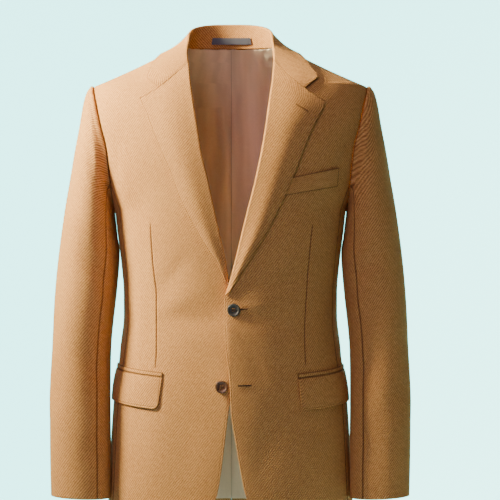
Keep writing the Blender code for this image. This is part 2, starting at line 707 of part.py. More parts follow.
# ---- lining and hanger loop ----
def make_lining(name, side):
    def place(u, v, depth):
        z = row_place(LINING_LEVELS, v)
        outer = outer_angle(z, False)
        outer += 8 * seam_turn(outer, z, side)
        angle = blend(outer, angle_at(0, z, False), u)
        # The wearer's left half folds over the right one, which runs on below it past the centre back.
        if u == 1 and side < 0:
            angle = angle_at(-PLEAT_UNDERLAP, z, False)
        tuck = LINING_CLOTH + 3 * SEAM if side > 0 and u > 1 - 1.5 / BACK_COLUMNS else 0.0
        return body_offset(angle, z, side, -CLOTH - LINING_CLEARANCE - tuck - depth * LINING_CLOTH)

    return cloth_wall(name, BACK_COLUMNS, len(LINING_LEVELS) - 1, place, TAN_SATIN)


def make_hanger_loop():
    def place(u, v, depth):
        along = blend(LOOP_START, LOOP_END, u)
        foot = collar_surface(0.0, along)
        head = collar_surface(STAND_SHARE, along)
        z = LOOP_LOW_Z + LOOP_HEIGHT * v
        here = foot.lerp(head, (z - foot.z) / (head.z - foot.z))
        out = LOOP_CLEARANCE + LOOP_BOW * math.sin(math.pi * u) + LOOP_RIBBON * depth
        return here + Vector((0, -out, 0))

    return cloth_wall("hanger_loop", 10, 1, place, DARK_RIBBON)


# ---- buttons ----
def make_button(name, side, spot, finish):
    """A turned button with a raised rim and four holes through it."""
    x, z = spot
    seat = front_offset(x, z, side, SEAM)
    facing = body_normal(angle_at(x, z), z, side).to_track_quat("Z", "Y")
    mesh = bpy.data.meshes.new(name)
    points = [(r * MM, 0, h * MM) for r, h in BUTTON_PROFILE]
    mesh.from_pydata(points, [(i, i + 1) for i in range(len(points) - 1)], [])
    button = finish_object(name, mesh, finish)
    button.location = seat * MM
    button.rotation_mode = "QUATERNION"
    button.rotation_quaternion = facing
    turned = button.modifiers.new("turned", "SCREW")
    turned.steps = 24
    turned.render_steps = 24
    turned.use_merge_vertices = True
    turned.merge_threshold = 0.00005
    turned.use_smooth_shade = True
    drill = bmesh.new()
    for turn in range(4):
        angle = math.radians(45 + 90 * turn)
        spot_at = Vector((math.cos(angle), math.sin(angle), 0)) * BUTTON_HOLE_SPREAD * MM
        hole = bmesh.ops.create_cone(drill, cap_ends=True, segments=8, radius1=BUTTON_HOLE_RADIUS * MM,
                                     radius2=BUTTON_HOLE_RADIUS * MM, depth=4 * BUTTON_HEIGHT * MM)
        bmesh.ops.translate(drill, verts=hole["verts"], vec=spot_at)
    drill_mesh = bpy.data.meshes.new(name + "_drill")
    drill.to_mesh(drill_mesh)
    drill.free()
    cutter = bpy.data.objects.new(name + "_drill", drill_mesh)
    cutter.hide_render = True
    cutter.display_type = "WIRE"
    cutter.location = button.location
    cutter.rotation_mode = "QUATERNION"
    cutter.rotation_quaternion = facing
    cutters.objects.link(cutter)
    holes = button.modifiers.new("thread_holes", "BOOLEAN")
    holes.operation = "DIFFERENCE"
    holes.object = cutter
    return button


# ---- the jacket ----
for old in list(bpy.data.objects):
    bpy.data.objects.remove(old, do_unlink=True)

jacket_parts = bpy.data.collections.new("tailored_jacket")
bpy.context.scene.collection.children.link(jacket_parts)
cutters = bpy.data.collections.new("cutters")
bpy.context.scene.collection.children.link(cutters)
mount_empty = bpy.data.objects.new("wearer_shoulders", None)
jacket_parts.objects.link(mount_empty)

make_front("front_left", 1, OVER_EDGE, LEFT_LAPEL)
make_front("front_right", -1, UNDER_EDGE, RIGHT_LAPEL)
make_lapel("lapel_left", 1, LEFT_LAPEL)
make_lapel("lapel_right", -1, RIGHT_LAPEL)
make_collar()
for suffix, side, flap in (("left", 1, LEFT_FLAP), ("right", -1, RIGHT_FLAP)):
    make_side("side_" + suffix, side)
    make_back("back_" + suffix, side)
    make_sleeve_piece("sleeve_upper_" + suffix, side, UPPER_SLEEVE, 14)
    make_sleeve_piece("sleeve_under_" + suffix, side, UNDER_SLEEVE, 6)
    make_flap("flap_" + suffix, side, flap)
    make_jet("jet_" + suffix, side, flap)
    make_lining("lining_back_" + suffix, side)
make_welt()
make_hanger_loop()
make_button("button_top", 1, TOP_BUTTON_PLACE, DARK_HORN)
make_button("button_bottom", -1, LOW_BUTTON_PLACE, BROWN_HORN)
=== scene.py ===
"""Looks of a tailored wool jacket, filled out with no wearer inside it."""
import math

import bmesh
import bpy
import numpy as np
from mathutils import Matrix, Vector


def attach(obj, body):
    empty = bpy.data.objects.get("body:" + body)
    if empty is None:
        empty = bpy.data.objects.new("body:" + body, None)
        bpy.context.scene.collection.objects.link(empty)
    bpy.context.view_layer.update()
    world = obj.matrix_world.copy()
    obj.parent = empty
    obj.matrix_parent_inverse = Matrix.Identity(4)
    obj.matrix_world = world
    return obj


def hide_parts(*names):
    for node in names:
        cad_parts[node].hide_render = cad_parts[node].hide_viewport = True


bl_info = {
    "name": "Tailored wool jacket",
    "version": (1, 0, 0),
    "blender": (4, 5, 0),
    "location": "3D View > Sidebar > Jacket",
    "description": "Cloth, lining, buttons and stage for a tailored wool jacket",
    "category": "Object",
}

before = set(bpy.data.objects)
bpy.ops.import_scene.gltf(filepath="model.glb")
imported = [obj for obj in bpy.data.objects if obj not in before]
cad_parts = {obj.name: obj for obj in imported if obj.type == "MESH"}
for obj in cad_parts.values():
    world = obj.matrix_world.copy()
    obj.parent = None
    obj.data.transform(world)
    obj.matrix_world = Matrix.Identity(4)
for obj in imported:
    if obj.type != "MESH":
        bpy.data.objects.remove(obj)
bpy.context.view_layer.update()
MM = 0.001

# ---- sizes in millimetres, the same as the solids' but for SEAM ----
CLOTH = 2.0
LAPEL_CLOTH = 1.6
LAPEL_CLEARANCE = 0.8
LINING_CLOTH = 1.0
SEAM = 0.12             # between two pieces here, so that their edges nearly meet
SOLID_SEAM = 0.3        # the same in the solids, and from a pocket's pieces to the cloth or flap beside them
HEM_Z = -750.0
NECK_Z = 7.2
SHOULDER_TIP_Z = -61.0
SHOULDER_RUN = 2.036
SHOULDER_INSET = 93.0
SHOULDER_SAG = 6.0
BODY_CENTRE_Y = 5.0
ROUNDNESS = 2.3
ARMHOLE_LOW_Z = -258.0
ARMHOLE_HALF_DEPTH = 68.0
ARMHOLE_CENTRE_Z = (SHOULDER_TIP_Z + ARMHOLE_LOW_Z) / 2
ARMHOLE_HALF_HEIGHT = (SHOULDER_TIP_Z - ARMHOLE_LOW_Z) / 2
FRONT_SIDE_SEAM = math.radians(70)
BACK_SIDE_SEAM = math.radians(116)
OVERLAP_LIFT = 5.6
LAPEL_HOOK = 11.0
LAPEL_END_HOOK = 4.6
COLLAR_HOOK = 6.6
LAPEL_EDGE_LIFT = 4.2
LAPEL_BELLY = 3.0
FOLD_RADIUS = CLOTH / 2 + LAPEL_CLEARANCE + LAPEL_CLOTH
BREAK_STEP = 4.0
ROLL_INSET = 4.0
GORGE_SAG = 7.5
NOTCH_SHARE = 0.59
HOOK_SHARE = 0.10
ROLL_SHARE = 0.36
STAND_SHARE = 0.18
COLLAR_NOTCH_TURN = 0.78
COLLAR_FOLD_HALF = 2.6
COLLAR_CHEST_BELLY = 0.8
COLLAR_END_SHARE = 0.2
COLLAR_LIES_FLAT = 0.06
COLLAR_STANDS_UP = 0.42

# Body sections: height, half width, front depth, back depth.
BODY_LEVELS = np.array((
    (-750, 197.0, 137, 138), (-680, 193.5, 137, 136), (-600, 189.5, 136, 131), (-540, 184.5, 134, 125),
    (-480, 175.5, 131, 116), (-430, 170.5, 129, 111), (-390, 171.0, 130, 111), (-340, 175.0, 133, 114),
    (-290, 181.0, 136, 118), (-234, 187.0, 138, 122), (-190, 191.0, 138, 123), (-160, 194.5, 136, 122),
    (-127, 203.0, 131, 120), (-90, 211.5, 119, 114), (-61, 217.2, 103, 103), (-40, 217.2, 84, 90),
    (-20, 217.2, 64, 75), (0, 217.2, 44, 58), (9, 217.2, 32, 48)), float).T
# Edges of the fronts: height, distance from the centre.
OVER_EDGE = np.array((
    (-750, 88), (-746, 68), (-738, 50), (-722, 35), (-700, 25), (-670, 18), (-620, 9.5), (-570, 2.0),
    (-520, -0.6), (-470, -6.8), (-425, -9.1), (-398, -8.2)), float).T
UNDER_EDGE = np.array((
    (-750, 84), (-746, 64), (-738, 46), (-722, 31), (-700, 20), (-670, 14.0), (-620, 7.5), (-570, 1.5),
    (-520, -6.0), (-470, -12.0), (-425, -14.0), (-398, -8.0), (-376, 1.5)), float).T
NECK_EDGE = np.array(((-24, 72.0), (-10, 75.2), (0, 77.0), (NECK_Z, 77.4)), float).T
# Lapels from the closure up: roll x, roll z, edge x, edge z.
LEFT_LAPEL = np.array((
    (-6.9, -391, -1.9, -387), (-1.5, -374, 11.5, -365), (8.2, -337, 37.0, -325), (16.5, -302, 62.0, -282),
    (27.0, -260, 83.0, -239), (37.5, -219, 98.5, -203), (46.5, -178, 111.5, -169), (54.0, -135, 124.5, -137),
    (60.5, -88, 137.0, -113), (65.2, -55, 143.6, -101.5), (68.0, -24, 146.6, -91)), float).T
RIGHT_LAPEL = np.array((
    (1.2, -372, 6.4, -368.8), (3.5, -353, 17.0, -345), (7.5, -328, 35.0, -319), (14.5, -299, 57.0, -281),
    (23.5, -257, 78.0, -239), (33.0, -213, 93.0, -197), (42.0, -175, 106.0, -169), (49.0, -132, 118.5, -139),
    (55.5, -93, 129.5, -110), (60.8, -58, 136.2, -97), (64.5, -27, 139.7, -87)), float).T
LEFT_COLLAR_TIP = np.array((137.6, -53.5))
RIGHT_COLLAR_TIP = np.array((129.6, -55.4))
# Collar from the notch to the centre back: fold x y z, seat x y z, edge angle, edge z, edge lift, belly.
COLLAR_ROWS = np.array((
    (68.0, -57.5, -24.0, 72.0, -50.0, -22.0, 40.6, -53.5, 4.2, 0.0),
    (67.8, -40.0, -6.0, 71.3, -35.0, -9.0, 51.6, -32.5, 4.2, -1.0),
    (67.2, -18.0, 12.0, 73.0, -16.0, 2.6, 70.6, -15.0, 3.9, -1.7),
    (66.0, 6.0, 27.0, 75.0, 6.4, 4.4, 93.0, -8.5, 3.7, -1.7),
    (57.0, 30.0, 37.5, 65.4, 31.0, 4.9, 120.0, -7.0, 3.2, -1.2),
    (35.0, 46.5, 43.5, 39.6, 45.4, 5.0, 146.0, -6.0, 3.4, 1.0),
    (0.0, 53.5, 45.0, 0.0, 50.3, 5.0, 180.0, -6.0, 3.6, 2.0)), float).T
# Sleeve rings: outer x z, inner x z, centre y, half depth.
SLEEVE_RINGS = np.array((
    (217.2, -61, 185.2, -258, 5, 68.0), (223.5, -61.5, 185.4, -261, 5, 68.5), (230.0, -70, 185.0, -265, 4, 70.0),
    (235.5, -90, 184.4, -270, 3, 71.5), (241.0, -123, 183.4, -277, 2, 72.5), (249.0, -164, 182.0, -287, 0, 73.0),
    (256.5, -212, 180.0, -303, -3, 72.0), (266.0, -272, 176.6, -330, -7, 69.0), (276.0, -356, 180.4, -385, -13, 64.0),
    (282.5, -459, 188.6, -470, -23, 58.0), (285.0, -550, 189.4, -555, -32, 53.0),
    (284.5, -635, 188.4, -638, -39, 49.0), (282.5, -708, 188.8, -712, -44, 45.5)), float).T
UPPER_SLEEVE = (math.radians(-118), math.radians(128))
UNDER_SLEEVE = (math.radians(128), math.radians(242))
# Folds across a sleeve: place along, place round in degrees, depth, half length, half width.
SLEEVE_FOLDS = (
    (7.6, 95, 2.6, 0.45, 55), (8.6, 60, -2.0, 0.55, 60), (9.3, 110, 2.4, 0.35, 45), (10.3, 40, -1.8, 0.50, 55),
)
POCKET_CLEARANCE = 0.7
FLAP_CLOTH = 2.0
FLAP_FLARE = 1.6
FLAP_CORNER = 9.0
FLAP_LENGTH = 140.0
JET_HEIGHT = 7.0
JET_CLOTH = 1.2
FLAP_REAR_ANGLE = math.radians(84)
# Flaps: front x at the top, front x at the bottom, top z, height.
LEFT_FLAP = (104.6, 110.5, -520, 50)
RIGHT_FLAP = (103.7, 111.0, -518, 50)
FLAP_RISE = 10.0
WELT_CORNERS = np.array(((80.0, -239.0), (167.0, -222.7), (90.0, -211.0), (169.2, -193.1)))
WELT_CLOTH = 1.6
LINING_RISE = 14.0
LINING_TOP_Z = 4.7
LINING_CLEARANCE = 0.6
PLEAT_UNDERLAP = 11.0
TOP_BUTTON_PLACE = (6.0, -413.5)
LOW_BUTTON_PLACE = (12.2, -532.0)
LOOP_ENDS = (0.4285, 0.566)
LOOP_LOW_Z = 11.5
LOOP_HEIGHT = 11.0
LOOP_RIBBON = 1.0
LOOP_CLEARANCE = 0.9
LOOP_BOW = 1.8

# ---- form, sewing and wear, only in the looks ----
CLOSURE_X = -3.0        # where the ridge of the closed fronts runs
CLOSURE_REACH = 80.0    # its half width
CLOSURE_RISE = 5.5      # how far it stands out
LINING_OVERLAP = 2.0    # how far the lining goes on up behind the collar's stand
LINING_SIDE_GAP = 1.2   # between the lining's outer edge and the back's
SIDE_WIDTH = 125.0      # of a side panel, about
DART_SLOPE = 1.15       # cloth across a dart for each unit seen from the front
SLEEVE_RADIUS = 58.0    # of a sleeve, about
STITCH_LINE_SHARE = 0.66    # height on the stand of its row of stitches
TUG_CENTRE = (65.0, 5.0)    # of the pucker at the top of the left lining
FAR = 1000.0            # a distance that stands for no edge or line
# Darts of the fronts: height, distance from the centre.
LEFT_DART = np.array((
    (-500, 117.2), (-458, 115.9), (-416, 117.3), (-362, 121.2), (-306, 125.8), (-283, 128.6)), float).T
RIGHT_DART = np.array(((-503, 115.1), (-475, 113.5), (-398, 113.6), (-340, 119.4), (-279, 123.3)), float).T
# Creases over the fronts: x, z, turn in degrees, half length, half width, height.
LEFT_CREASES = (
    (60, -432, -12, 62, 12, -1.6), (52, -398, 24, 58, 11, 1.5), (96, -368, 38, 60, 14, -1.8),
    (70, -470, -38, 60, 13, 1.4), (40, -500, -62, 55, 12, -1.2), (150, -250, 70, 70, 16, -1.6),
    (140, -455, 80, 70, 13, 1.6), (60, -620, 84, 90, 20, -1.8), (112, -650, 88, 85, 18, 1.6),
    (165, -330, 84, 60, 10, 1.4), (176, -180, 74, 50, 9, -1.8), (190, -120, 80, 40, 9, 1.3),
)
RIGHT_CREASES = (
    (48, -428, 14, 60, 12, -1.6), (46, -462, 36, 62, 12, 1.5), (78, -400, -20, 62, 13, 1.4),
    (88, -360, -44, 58, 14, -1.7), (38, -498, 58, 50, 12, -1.3), (146, -262, -72, 66, 15, -1.5),
    (142, -450, -82, 72, 13, 1.5), (66, -630, -86, 85, 20, -1.7), (120, -640, -88, 90, 18, 1.5),
    (168, -320, -82, 62, 11, 1.3), (178, -186, -76, 50, 9, -1.7), (188, -124, -78, 42, 9, 1.4),
)
# Creases over the back halves, the same columns.
BACK_CREASES = (
    (60, -300, 78, 110, 18, -1.8), (110, -380, 70, 90, 16, 1.9), (40, -470, 12, 60, 12, -1.6),
    (90, -450, -14, 62, 11, 1.6), (70, -180, 60, 80, 18, -1.6), (140, -210, 72, 70, 14, 1.9),
    (120, -560, 86, 90, 20, -2.0), (60, -620, 88, 95, 20, 1.8), (150, -120, 50, 50, 13, -1.6),
)
# Creases over a side panel, the same columns.
SIDE_CREASES = ((60, -330, 84, 90, 12, -1.4), (30, -480, 70, 70, 10, 1.5), (85, -560, 95, 80, 12, 1.5))
# Soft folds of a sleeve, finer than the solid's: along, round, depth, half length, half width, slant.
SLEEVE_CREASES = (
    (2.6, 120, -1.6, 0.9, 28, 0.9), (3.4, 70, 1.3, 1.2, 26, 0.6), (4.6, 150, -1.8, 0.8, 40, -0.7),
    (5.6, 20, 1.5, 1.4, 24, 0.8), (6.6, 130, 1.8, 0.5, 46, -0.5), (7.2, 60, -1.6, 0.6, 40, 0.6),
    (8.1, 118, -1.8, 0.4, 44, 0.5), (8.9, 20, 1.4, 0.6, 36, -0.5), (9.8, 84, -1.6, 0.5, 46, 0.4),
    (10.9, 120, 1.5, 0.5, 42, -0.4), (6.9, -50, -1.8, 0.8, 40, 0.7), (8.4, -80, 1.7, 0.7, 38, -0.6),
    (4.4, -70, -1.5, 1.0, 34, 0.6), (10.2, -40, -1.4, 0.6, 40, 0.5),
)


# ---- small tools ----
def smooth_curve(table, at):
    """Value at a place along the first row of a table, on a monotone curve through its second."""
    keys, values = table
    at = np.clip(at, keys[0], keys[-1])
    rise = np.diff(values) / np.diff(keys)
    slope = np.empty(len(keys))
    product = rise[:-1] * rise[1:]
    total = np.where(np.abs(rise[:-1] + rise[1:]) < 1e-12, 1.0, rise[:-1] + rise[1:])
    slope[1:-1] = np.where(product > 0, 2 * product / total, 0.0)
    slope[0], slope[-1] = rise[0], rise[-1]
    index = np.clip(np.searchsorted(keys, at, side="right") - 1, 0, len(keys) - 2)
    span = keys[index + 1] - keys[index]
    share = (at - keys[index]) / span
    return hermite(values[index], values[index + 1], slope[index] * span, slope[index + 1] * span, share)


def hermite(low, high, start, end, share):
    rise = high - low
    return low + start * share + (3 * rise - 2 * start - end) * share ** 2 + (start + end - 2 * rise) * share ** 3


def through_rows(values, at):
    """Value at a place counted in rows, on a smooth curve through all of them."""
    last = len(values) - 1
    at = np.clip(at, 0, last)
    index = np.minimum(at.astype(int), last - 1)

    def row(step):
        return values[np.clip(index + step, 0, last)]

    return hermite(row(0), row(1), (row(1) - row(-1)) / 2, (row(2) - row(0)) / 2, at - index)


def blend(low, high, share):
    return low + (high - low) * share


def smooth_step(low, high, at):
    share = np.clip((at - low) / (high - low), 0.0, 1.0)
    return share * share * (3 - 2 * share)


def bump(distance):
    """A soft hill: 1 at the middle, 0 from distance 1 outwards."""
    return np.where(np.abs(distance) < 1, (1 - distance ** 2) ** 2, 0.0)


def level_at(levels, v):
    """Value at a share of the way through a list of heights or places."""
    return np.interp(v * (len(levels) - 1), np.arange(len(levels)), levels)


def points(x, y, z):
    return np.stack(np.broadcast_arrays(x, y, z), axis=-1).astype(float)


def unit(vectors):
    return vectors / np.maximum(np.linalg.norm(vectors, axis=-1, keepdims=True), 1e-9)


# ---- the body's surface ----
def armhole_reach(z):
    inside = 1 - ((z - ARMHOLE_CENTRE_Z) / ARMHOLE_HALF_HEIGHT) ** 2
    return ARMHOLE_HALF_DEPTH * np.sqrt(np.maximum(inside, 0.0))


def section(z, is_front):
    """Half width and depth of the body's oval at a height."""
    depth = np.where(is_front, smooth_curve(BODY_LEVELS[[0, 2]], z), smooth_curve(BODY_LEVELS[[0, 3]], z))
    cut = np.minimum(armhole_reach(z) / depth, 0.999) ** ROUNDNESS
    below = smooth_curve(BODY_LEVELS[[0, 1]], z) / (1 - cut) ** (1 / ROUNDNESS)
    share = (z - SHOULDER_TIP_Z) / (NECK_Z - SHOULDER_TIP_Z)
    shoulder = SHOULDER_INSET - SHOULDER_RUN * z - SHOULDER_SAG * 4 * share * (1 - share)
    return np.where(z >= SHOULDER_TIP_Z, shoulder, below), depth


def body_point(angle, z, side=1):
    """Outer face of the body: angle 0 is the centre front, 90 degrees the side, 180 the centre back."""
    half_width, depth = section(z, angle <= math.pi / 2)
    sine, cosine = np.sin(angle), np.cos(angle)
    x = half_width * np.sign(sine) * np.abs(sine) ** (2 / ROUNDNESS)
    y = -depth * np.sign(cosine) * np.abs(cosine) ** (2 / ROUNDNESS)
    return points(side * x, BODY_CENTRE_Y + y, z)


def body_offset(angle, z, side, out):
    turn, rise = 0.01, 1.5
    around = body_point(angle + turn, z, side) - body_point(angle - turn, z, side)
    upward = body_point(angle, z + rise, side) - body_point(angle, z - rise, side)
    normal = unit(np.cross(around, upward) * np.reshape(side, np.shape(side) + (1,)))
    return body_point(angle, z, side) + normal * np.reshape(out, np.shape(out) + (1,))


def angle_at(x, z, is_front=True):
    half_width, _ = section(z, is_front)
    angle = np.sign(x) * np.arcsin(np.minimum(np.abs(x) / half_width, 1.0) ** (ROUNDNESS / 2))
    return angle if is_front else math.pi - angle


def outer_angle(z, is_front):
    """Angle of a panel's outer edge: side seam, then armhole, then shoulder seam."""
    _, depth = section(z, is_front)
    arm = np.arccos(np.minimum((armhole_reach(z) / depth) ** (ROUNDNESS / 2), 1.0))
    low = np.minimum(arm, FRONT_SIDE_SEAM)
    if not is_front:
        arm = math.pi - arm
        low = np.maximum(arm, BACK_SIDE_SEAM)
    return np.where(z >= SHOULDER_TIP_Z, math.pi / 2, np.where(z > ARMHOLE_CENTRE_Z, arm, low))


def side_panel_top(angle):
    _, depth = section(np.full(np.shape(angle), -240.0), angle <= math.pi / 2)
    reach = np.minimum(depth * np.abs(np.cos(angle)) ** (2 / ROUNDNESS), ARMHOLE_HALF_DEPTH)
    return ARMHOLE_CENTRE_Z - ARMHOLE_HALF_HEIGHT * np.sqrt(1 - (reach / ARMHOLE_HALF_DEPTH) ** 2)


def overlap_lift(x, z):
    """How far the over front stands off the under front."""
    height = OVERLAP_LIFT * (1 - smooth_step(-345, -250, z)) * blend(0.35, 1.0, smooth_step(-720, -460, z))
    return height * (1 - smooth_step(25, 125, x))


def closure_rise(x, z, side):
    """How far both fronts stand out where they close: a soft ridge that runs down along the over front's edge."""
    apart = np.abs(side * x - CLOSURE_X) / CLOSURE_REACH
    level = (1 - smooth_step(-450, -398, z)) * blend(0.4, 1.0, smooth_step(-700, -560, z))
    return CLOSURE_RISE * level * np.maximum(1 - apart, 0) ** 1.6


def closure_lift(x, z, side):
    return np.where(side > 0, overlap_lift(x, z), 0.0) + closure_rise(x, z, side)


def front_offset(x, z, side, out):
    """A point over a front, seen from the front at x and z, and moved out from its outer face."""
    return body_offset(angle_at(x, z), z, side, out + closure_lift(x, z, side))


def panel_offset(angle, z, side, out):
    """The same, for a point given by its angle round the body."""
    return body_offset(angle, z, side, out + closure_lift(body_point(angle, z)[..., 0], z, side))


def seam_turn(angle, z, gap=SEAM / 2):
    """The angle that a gap takes up on the body."""
    step = 0.01
    reach = np.linalg.norm(body_point(angle + step, z) - body_point(angle - step, z), axis=-1)
    return gap / (reach / (2 * step))


def seam_dip(gap, depth=0.7, width=2.2):
    """How far cloth sinks towards a seam, by the distance from it."""
    return -depth * np.exp(-(gap / width) ** 2)


def crease_height(rows, x, z):
    """Height of soft creases placed one by one."""
    height = np.zeros(np.shape(x))
    for row_x, row_z, turn, length, width, rise in rows:
        cosine, sine = math.cos(math.radians(turn)), math.sin(math.radians(turn))
        along = (x - row_x) * cosine + (z - row_z) * sine
        across = (z - row_z) * cosine - (x - row_x) * sine + 0.06 * length * np.sin(along / length * 2)
        height = height + rise * bump(along / length) * np.exp(-(across / width) ** 2)
    return height


# ---- cloth as thin shells ----
def cloth_wall(name, cells, thickness, place, finishes, outer=0.0, stitched=(), seams=(), line=None, weave=None,
               grain=1, u_start=0.0):
    """A thin wall of cloth with rounded edges, from a flat slab whose points are put in place.

    place(u, v, depth) gives any point of the wall in millimetres, and outer is the depth of the face that shows.
    Its UV map follows the cloth in metres, or weave() of the laid grid. A second map holds the run and gap of
    the edge stitches, and a third the distances from the sewn edges, where the finishes paint shade, and from a
    line sewn across the piece.
    """
    columns, rows = cells
    u_grid, v_grid = np.meshgrid(np.linspace(0, 1, columns + 1), np.linspace(0, 1, rows + 1))
    laid = place(u_grid, v_grid, outer)
    across = np.pad(np.cumsum(np.linalg.norm(np.diff(laid, axis=1), axis=-1), axis=1), ((0, 0), (1, 0)))
    upward = np.pad(np.cumsum(np.linalg.norm(np.diff(laid, axis=0), axis=-1), axis=0), ((1, 0), (0, 0)))
    width, height = float(across[:, -1].max()), float(upward[-1].max())
    cell_areas = np.linalg.norm(np.cross(np.diff(laid, axis=1)[:-1], np.diff(laid, axis=0)[:, :-1]), axis=-1)
    area = float(cell_areas.sum())
    slab = bmesh.new()
    bmesh.ops.create_grid(slab, x_segments=columns, y_segments=rows, size=0.5)
    bmesh.ops.scale(slab, vec=(width, height, 1), verts=slab.verts)
    bmesh.ops.solidify(slab, geom=slab.faces[:], thickness=thickness)
    rim = [edge for edge in slab.edges if edge.calc_face_angle(0.0) > 1.0]
    bmesh.ops.bevel(slab, geom=rim, offset=0.32 * thickness, offset_type="OFFSET", segments=2, profile=0.5,
                    affect="EDGES", material=-1)
    flat = places_of(slab.verts)
    u = np.clip(flat[:, 0] / width + 0.5, 0, 1)
    v = np.clip(flat[:, 1] / height + 0.5, 0, 1)
    depth = (flat[:, 2].max() - flat[:, 2]) / np.ptp(flat[:, 2])
    move_to(slab.verts, place(u, v, depth) * MM)
    bmesh.ops.recalc_face_normals(slab, faces=slab.faces[:])
    if slab.calc_volume(signed=True) < 0:
        bmesh.ops.reverse_faces(slab, faces=slab.faces[:])

    def sample(grid):
        i, j = u * columns, v * rows
        left, low = np.minimum(i.astype(int), columns - 1), np.minimum(j.astype(int), rows - 1)
        i, j = i - left, j - low
        below = blend(grid[low, left], grid[low, left + 1], i)
        return blend(below, blend(grid[low + 1, left], grid[low + 1, left + 1], i), j)

    arc = across - across[:, [int(round(u_start * columns))]]
    over, rise = weave(laid, arc, upward) if weave else (grain * arc, upward)
    cloth_uv = np.stack((sample(over), sample(rise)), axis=-1) * MM
    edges = {
        "left": (upward, across), "right": (upward, across[:, -1:] - across),
        "low": (across, upward), "high": (across, upward[-1:] - upward),
    }
    run, gap, seam = np.zeros(len(u)), np.full(len(u), FAR), np.full(len(u), FAR)
    for edge in stitched:
        nearer = sample(edges[edge][1]) < gap
        run = np.where(nearer, sample(edges[edge][0]), run)
        gap = np.where(nearer, sample(edges[edge][1]), gap)
    # The sewn edges listed in seams get painted shade from the finishes, by this distance.
    for edge in seams:
        seam = np.minimum(seam, sample(edges[edge][1]))
    off_line = line(u, v) if line else np.full(len(u), FAR)
    stitch_uv = np.stack((run, gap), axis=-1) * MM
    seam_uv = np.stack((seam, off_line), axis=-1) * MM
    mesh = as_mesh(slab, name)
    corner = np.empty(len(mesh.loops), int)
    mesh.loops.foreach_get("vertex_index", corner)
    for uv_name, values in (("cloth", cloth_uv), ("stitch", stitch_uv), ("seam", seam_uv)):
        layer = mesh.uv_layers.new(name=uv_name)
        layer.data.foreach_set("uv", values[corner].astype(np.float32).ravel())
    piece = finish_piece(name, mesh, finishes)
    piece["flat"] = (width * MM, height * MM)
    piece["flat_area"] = min(area * MM * MM, width * height * MM * MM)
    return piece


def places_of(verts):
    return np.array([vert.co[:] for vert in verts])


def move_to(verts, places):
    for vert, place in zip(verts, places):
        vert.co = place


def as_mesh(shape, name):
    mesh = bpy.data.meshes.new(name)
    shape.to_mesh(mesh)
    shape.free()
    return mesh


def finish_piece(name, mesh, finishes):
    mesh.shade_smooth()
    for finish in finishes:
        mesh.materials.append(finish)
    piece = bpy.data.objects.new(name, mesh)
    bpy.context.scene.collection.objects.link(piece)
    return piece


def walled(surface, thickness, direction):
    """The place function of a wall of even thickness behind a surface."""
    def place(u, v, depth):
        step = 0.002
        across = surface(np.minimum(u + step, 1), v) - surface(np.maximum(u - step, 0), v)
        upward = surface(u, np.minimum(v + step, 1)) - surface(u, np.maximum(v - step, 0))
        inward = unit(np.cross(across, upward)) * thickness * direction
        return surface(u, v) + inward * np.asarray(depth)[..., None]
    return place


def settle(piece, nodes=()):
    """Ties a finished piece to the frame, and hides the solids that it stands for."""
    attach(piece, "root")
    if nodes:
        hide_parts(*nodes)


def hang_straight(side, plumb_x):
    """The weave of a body panel: level along each row, measured from one plumb line."""
    def weave(laid, arc, upward):
        x = np.abs(laid[..., 0])
        plumb = np.array([np.interp(plumb_x, np.sort(row), run[np.argsort(row)]) for row, run in zip(x, arc)])
        return side * (arc - plumb[:, None]), np.broadcast_to(upward[:, [arc.shape[1] // 2]], arc.shape)
    return weave


# ---- fronts, sides, backs ----
def levels_between(*spans):
    """Heights from the hem up, as evenly spaced runs: (start, end, steps) each."""
    return np.unique(np.concatenate([np.linspace(low, high, steps + 1) for low, high, steps in spans]).round(3))


ARMHOLE_LEVELS = ARMHOLE_CENTRE_Z - ARMHOLE_HALF_HEIGHT * np.cos(np.linspace(0, math.pi, 61))
SHOULDER_LEVELS = np.linspace(SHOULDER_TIP_Z, NECK_Z, 25)
HEM_LEVELS = levels_between((HEM_Z, -744, 8), (-744, -720, 12), (-720, -690, 8), (-690, ARMHOLE_LOW_Z, 88))
PANEL_LEVELS = np.unique(np.concatenate((HEM_LEVELS, ARMHOLE_LEVELS, SHOULDER_LEVELS)).round(3))


def front_edge_x(z, edges, lapel):
    roll = smooth_curve(lapel[[1, 0]], z) + ROLL_INSET
    neck = smooth_curve(NECK_EDGE, z)
    low = smooth_curve(edges, z)
    return np.where(z < lapel[1, 0] - BREAK_STEP / 2, low, np.where(z < lapel[1, -1], roll, neck))


